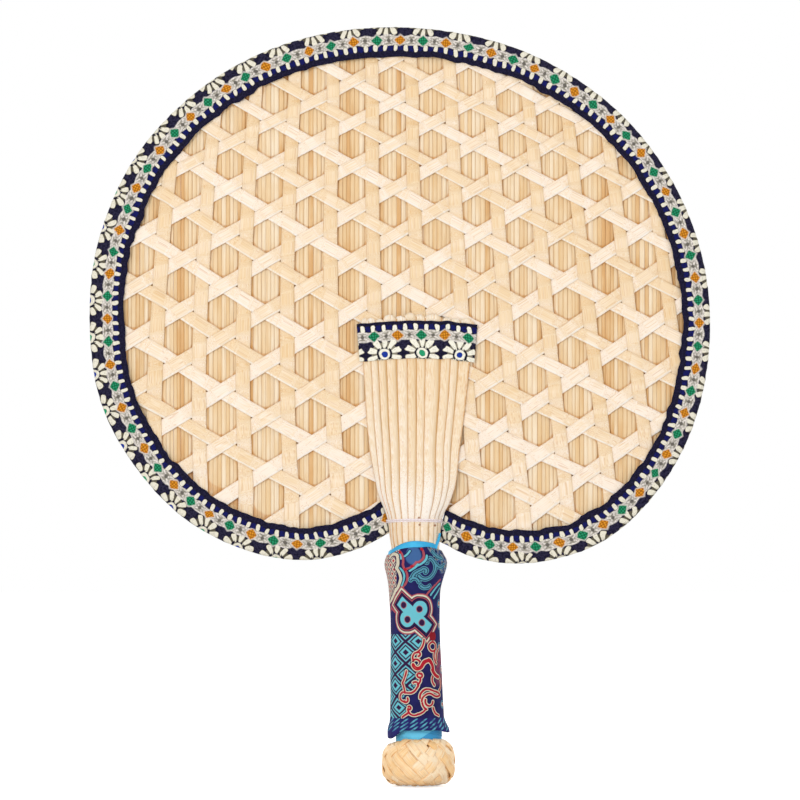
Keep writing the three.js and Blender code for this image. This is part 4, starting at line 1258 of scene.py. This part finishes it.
def tapePlace(along, around):
    turns = tape["turns"]
    turn = along * turns
    side, face = onRing(flatBand, around)
    back, right = turnAt(turn)
    climb = min(max((turn - 1) / (turns - 2), 0), 1)
    top = ease(turn, turns - 2, turns - 1)
    z = lerp(tape["low"], tape["high"], climb) + side * tape["width"] / 2
    drop, *reach = tape["drop"]
    z -= top * (tape["arch"][right > 0] * right ** 2 + drop * ease(right, *reach))
    begins, ends = tape["laps"]  # from here it lies on the turn before
    second = ease(turn, begins, ends) * (1 - ease(turn, *tape["secondTurn"]))
    layer = max(second, tape["lastTurn"] * ease(turn, turns - ends, turns - begins))
    seat = tape["seat"] + tape["overSplints"] * ease(z, *grip["shoulder"])
    radius = gripRadius(z) + seat + layer * tape["layer"] - face * tape["half"]
    return settled(radius * right, z), radius * back, z


def tapeUv(along, around):
    return along * tape["turns"] * tape["girth"], onRing(flatBand, around)[0] * tape["width"] / 2


def tailPlace(along, around):  # the tape's end sticks up beside the splints
    side, face = onRing(flatBand, around)
    out = lerp(*tail["out"], ease(along, *tail["turnsOut"]))
    x, y, z = splintPlace(lerp(*tail["across"], along), lerp(*tail["heights"], along), -1, out)
    return x + side * lerp(*tail["half"], along), y - face * tape["half"] - tail["tilt"] * side, z


form = newForm()
sweep(form, tape["turns"] * tape["steps"], len(flatBand), tapePlace, tapeUv)
sweep(form, tail["steps"], len(flatBand), tailPlace, lambda along, around: (along * tail["length"], around))
wound = finishPiece("tape", form, blueSatin, "blue_ribbon", "ribbon_wrap")
print("tape wound")

# Sleeve: a cloth tube with a rolled hem, drawn in over the neck in an arch
sleeve = {
    "profile": (
        (-46, 14.9), (-42.5, 15.0), (-40.3, 14.7), (-37.6, 13.6), (-35.2, 13.1), (-28, 12.75), (-15.5, 12.5),
        (-5, 12.15), (6.7, 11.85), (17, 11.95), (25.7, 12.45), (30.5, 13.2), (33.5, 13.9), (36.5, 14.75),
        (39.2, 15.1), (41.4, 14.8), (43.4, 14.35), (47.5, 14.1),
    ),
    "perSpan": 12, "wall": 0.7, "sides": 96, "rows": (48, 12), "cut": (83, 89), "top": 46.2, "arch": 2.9,
    "topLeft": (1.1, 0.55, 1.0), "topRight": (1.0, 0.1, 0.6), "bottom": -40.7, "leftSag": (4.3, 0.45, 0.95),
    "rightSag": (1.4, 0.6, 1.0), "lip": (0.94, 1.0), "drawnIn": 0.5, "hem": (0.35, 0.075, 0.008),
    "puckers": 0.16, "gathers": 0.3, "gathered": (0.8, 0.95), "puckerSize": (1.6, 8), "gatherSize": (2.8, 14),
    "mapRadius": 12.6, "patternBow": 0.6, "patternRise": 0.45, "lipWall": 0.5,
}
sleeveLine = spline([Vector((r, 0, z)) for z, r in sleeve["profile"]], sleeve["perSpan"])
outside, inside = sleeve["rows"]
sleeveRows = [(i / outside, 1) for i in range(outside + 1)] + [(1.004, 0.5)]
sleeveRows += [(1 - i / inside, 0) for i in range(inside + 1)] + [(-0.004, 0.5)]


def sleeveRadius(z):
    for a, b in zip(sleeveLine, sleeveLine[1:]):
        if z <= b.z:
            return lerp(a.x, b.x, (z - a.z) / (b.z - a.z))
    return sleeveLine[-1].x


def sleeveHeight(share, right):
    def moved(key, way):
        amount, *reach = sleeve[key]
        return amount * ease(way, *reach)

    bottom = sleeve["bottom"] - moved("leftSag", -right) - moved("rightSag", right)
    top = sleeve["top"] - sleeve["arch"] * right ** 2 + moved("topRight", right) - moved("topLeft", -right)
    return lerp(bottom, top, share)


def sleevePlace(along, around):
    share, layer = onRing(sleeveRows, along)
    front, right = turnAt(around - 0.5)
    z = sleeveHeight(share, right)
    lip = ease(share, *sleeve["lip"])
    wall = (1 - layer) * sleeve["wall"] * (1 - sleeve["lipWall"] * lip)
    radius = sleeveRadius(z) - wall - sleeve["drawnIn"] * lip
    depth, height, reach = sleeve["hem"]  # stitched groove above the hem
    groove = depth * math.exp(-((share - height) / reach) ** 2)
    size, height = sleeve["puckerSize"]
    radius += layer * (sleeve["puckers"] * ripple(size * right, size * front, z / height) - groove)
    size, height = sleeve["gatherSize"]
    gathers = sleeve["gathers"] * ease(share, *sleeve["gathered"])
    radius += layer * gathers * ripple(size * right, size * front, z / height)
    return settled(radius * right, z), -radius * front, z


def sleeveUv(along, around):
    share = onRing(sleeveRows, along)[0]
    z = sleeveHeight(share, turnAt(around - 0.5)[1])
    across = sleeve["mapRadius"] * 2 * math.pi * (around - 0.5)
    return across + sleeve["patternBow"] * neckChange("bow", z), z - sleeve["patternRise"]


cover = sweptPiece("sleeve", sleeveBrocade, "grip_fabric", "grip_sleeve",
                   len(sleeveRows), sleeve["sides"], sleevePlace, sleeveUv, ends="joined")
print("sleeve drawn on")

# Pommel: flat straws plaited over and under each other round a knob
pommel = {
    "profile": (
        (10.6, -47.4), (12.4, -47.2), (14.2, -48.3), (15.7, -50.1), (16.8, -52.4), (17.1, -55.2),
        (17.1, -58.6), (16.5, -62.4), (14.4, -65.5), (11.0, -67.0), (6.5, -67.2), (3.0, -67.1),
    ),
    "perSpan": 12, "strands": 17, "widest": 17.1, "width": 5.0, "widthSpread": 0.2, "lift": 0.3, "half": 0.26,
    "cup": 0.22, "rough": 0.3, "steps": 72, "slope": 0.95, "leastRadius": 5.5, "dominant": 0.5, "upper": 0.3,
    "shift": 0.7, "uneven": 0.22, "sway": 0.09, "tones": (0.5, 0.95), "drawnUp": (1.6, 1.0, 0.6),
    "drawnReach": 0.3, "strawLength": 1.4, "filled": 0.965, "middle": -57.2, "fillSides": 36, "fillMap": 40,
    "swayWaves": 3, "roughWaves": 5, "upperSize": (1.4, 9), "drawnFrom": (0.3, 1),
}
button = {"turns": 2.5, "radii": (0.9, 4.0), "half": (0.75, 0.25), "level": -67.35, "rise": 0.1, "steps": 60,
          "length": 30, "tone": 0.6}
knobLine, knobLength = evenly(
    spline([Vector((r, 0, z)) for r, z in pommel["profile"]], pommel["perSpan"]), pommel["steps"])
knobTurn = [0.0]
for a, b in zip(knobLine, knobLine[1:]):
    radius = max((a.x + b.x) / 2, pommel["leastRadius"])
    knobTurn.append(knobTurn[-1] + pommel["slope"] * (b - a).length / radius)


def layPlait(form, hand, number):
    start = 2 * math.pi * (number + pommel["uneven"] * seeded.uniform(-1, 1)) / pommel["strands"]
    drift, tone = newDrift(), seeded.uniform(*pommel["tones"])
    waves, (size, height), sides = pommel["swayWaves"], pommel["upperSize"], pommel["drawnFrom"]

    def place(along, around):
        i = round(along * pommel["steps"])
        side, face = onRing(flatBand, around)
        spot = knobLine[i]
        way = (knobLine[min(i + 1, pommel["steps"])] - knobLine[max(i - 1, 0)]).normalized()
        angle = start + hand * knobTurn[i] + pommel["sway"] * ripple(along * waves, drift)
        c, s = math.cos(angle), math.sin(angle)
        out = Vector((-way.z, 0, way.x))
        across = out.cross((way + Vector((0, pommel["slope"] * hand, 0))).normalized())
        width = pommel["width"] * spot.x / pommel["widest"]
        width *= 1 + pommel["widthSpread"] * ripple(along * waves, drift + 2)
        upper = pommel["upper"] + ripple(size * c, size * s, spot.z / height)  # which hand lies on top here
        crossing = math.cos(pommel["strands"] * knobTurn[i])
        lift = hand * (pommel["lift"] * crossing + pommel["dominant"] * upper)
        lift += pommel["rough"] * ripple(along * pommel["roughWaves"], drift + 7)
        lift -= face * pommel["half"] + pommel["cup"] * side * side
        local = spot + across * side * width / 2 + out * lift
        front, left, right = pommel["drawnUp"]
        rise = front * ease(-s, 0, 1) - left * ease(-c, *sides) + right * ease(c, *sides)
        rise *= 1 - ease(along, 0, pommel["drawnReach"])
        return local.x * c - local.y * s + pommel["shift"], local.x * s + local.y * c, local.z + rise

    def uvOf(along, around):
        side = onRing(flatBand, around)[0]
        return along * pommel["strawLength"] * knobLength + drift, side * plaitLook["half"]

    sweep(form, pommel["steps"], len(flatBand), place, uvOf, tone)


def fillPlace(along, around):  # packed straw under the plait
    spot = knobLine[round(along * pommel["steps"])]
    c, s = turnAt(around)
    radius = pommel["filled"] * spot.x
    return radius * c + pommel["shift"], radius * s, lerp(pommel["middle"], spot.z, pommel["filled"])


def buttonPlace(along, around):  # the straws' ends are coiled under the knob
    side, face = onRing(flatBand, around)
    c, s = turnAt(button["turns"] * along)
    halfWidth, halfDepth = button["half"]
    radius = lerp(*button["radii"], along) + side * halfWidth
    z = button["level"] + face * halfDepth + button["rise"] * along
    return radius * c + pommel["shift"], radius * s, z


form = newForm()
for number in range(pommel["strands"]):
    layPlait(form, 1, number)
    layPlait(form, -1, number)
sweep(form, pommel["steps"], pommel["fillSides"], fillPlace,
      lambda along, around: (along * pommel["fillMap"], around), 0.0)
sweep(form, button["steps"], len(flatBand), buttonPlace,
      lambda along, around: (along * button["length"], around), button["tone"])
finishPiece("knob", form, plaitStraw, "pommel_straw", "pommel")
print("pommel plaited")

# Core: a turned stick with a tenon in the knob, and packing between the splints above its head
stick = {
    "tenon": 6.0, "bottom": -59.2, "foot": -46.3, "head": 12.1, "top": 45.5, "packed": 66.2,
    "flattens": (44, 48), "inside": -0.8, "turnedSteps": 36, "packedSteps": 14, "sides": 50, "map": (110, 60),
}
stickRows = [(stick["bottom"], stick["tenon"]), (stick["foot"], stick["tenon"])]
for i in range(stick["turnedSteps"] + 1):
    z = lerp(stick["foot"], stick["top"], i / stick["turnedSteps"])
    stickRows.append((z, min(gripRadius(z), stick["head"])))
for i in range(stick["packedSteps"]):
    z = lerp(stick["top"], stick["packed"], (i + 1) / stick["packedSteps"])
    stickRows.append((z, stick["head"]))


def stickPlace(along, around):
    z, radius = stickRows[round(along * (len(stickRows) - 1))]
    front, side = turnAt(around)
    turned = Vector((settled(radius * side, z), -radius * front, z))
    across = math.asin(side) / (math.pi / 2)
    packed = Vector(splintPlace(across, z, -1 if front > 0 else 1, stick["inside"]))
    return turned.lerp(packed, ease(z, *stick["flattens"]))


sweptPiece("stick", coreWood, "core_wood", "handle_core", len(stickRows) - 1, stick["sides"], stickPlace,
           lambda along, around: (along * stick["map"][0], around * stick["map"][1]))
print("core turned")

# Stage: a pale floor, a white surround and soft lamps
stage = {"floor": -0.0684, "size": 6.0, "ambient": 0.62, "floorGlow": 0.62, "floorColour": "e6e6e6",
         "floorRoughness": 0.9, "aim": (0, 0, 0.12)}


def seenRay(tree):  # 1 where the camera, a mirror or glass looks
    rays = tree.nodes.new("ShaderNodeLightPath").outputs
    seen, glossy, through = [Wire(rays[f"Is {kind} Ray"]) for kind in ("Camera", "Glossy", "Transmission")]
    return calc("MAXIMUM", calc("MAXIMUM", seen, glossy), through)


world = bpy.data.worlds.new("surround")
scene.world = world
world.use_nodes = True
strength = seenRay(world.node_tree) * (1 - stage["ambient"]) + stage["ambient"]
feed(world.node_tree.nodes["Background"].inputs, {"Color": "ffffff", "Strength": strength})

paleFloor, shader = newMaterial("paleFloor", stage["floorRoughness"], 0.0)
glow = seenRay(paleFloor.node_tree) * stage["floorGlow"]
feed(shader, {"Base Color": stage["floorColour"], "Emission Color": "ffffff", "Emission Strength": glow})
form = bmesh.new()
bmesh.ops.create_grid(form, x_segments=1, y_segments=1, size=stage["size"] / 2)
bmesh.ops.translate(form, verts=form.verts, vec=(0, 0, stage["floor"]))
floor = objectOf("floor", form, paleFloor)

lamps = {
    "key": {"place": (-0.8, -2.0, 0.55), "size": 0.9, "power": 16.5},
    "fill": {"place": (1.5, -1.6, 0.9), "size": 1.6, "power": 7},
    "rearLeft": {"place": (-1.2, 1.7, 1.2), "size": 1.3, "power": 13},
    "rearRight": {"place": (1.2, 1.6, 0.9), "size": 1.3, "power": 11},
}
for name, lamp in lamps.items():
    light = bpy.data.lights.new(name, "AREA")
    light.size = lamp["size"]
    light.energy = lamp["power"]
    holder = bpy.data.objects.new(name, light)
    holder.location = lamp["place"]
    aim = Vector(stage["aim"]) - holder.location
    holder.rotation_euler = aim.to_track_quat("-Z", "Y").to_euler()
    scene.collection.objects.link(holder)
print("stage set")
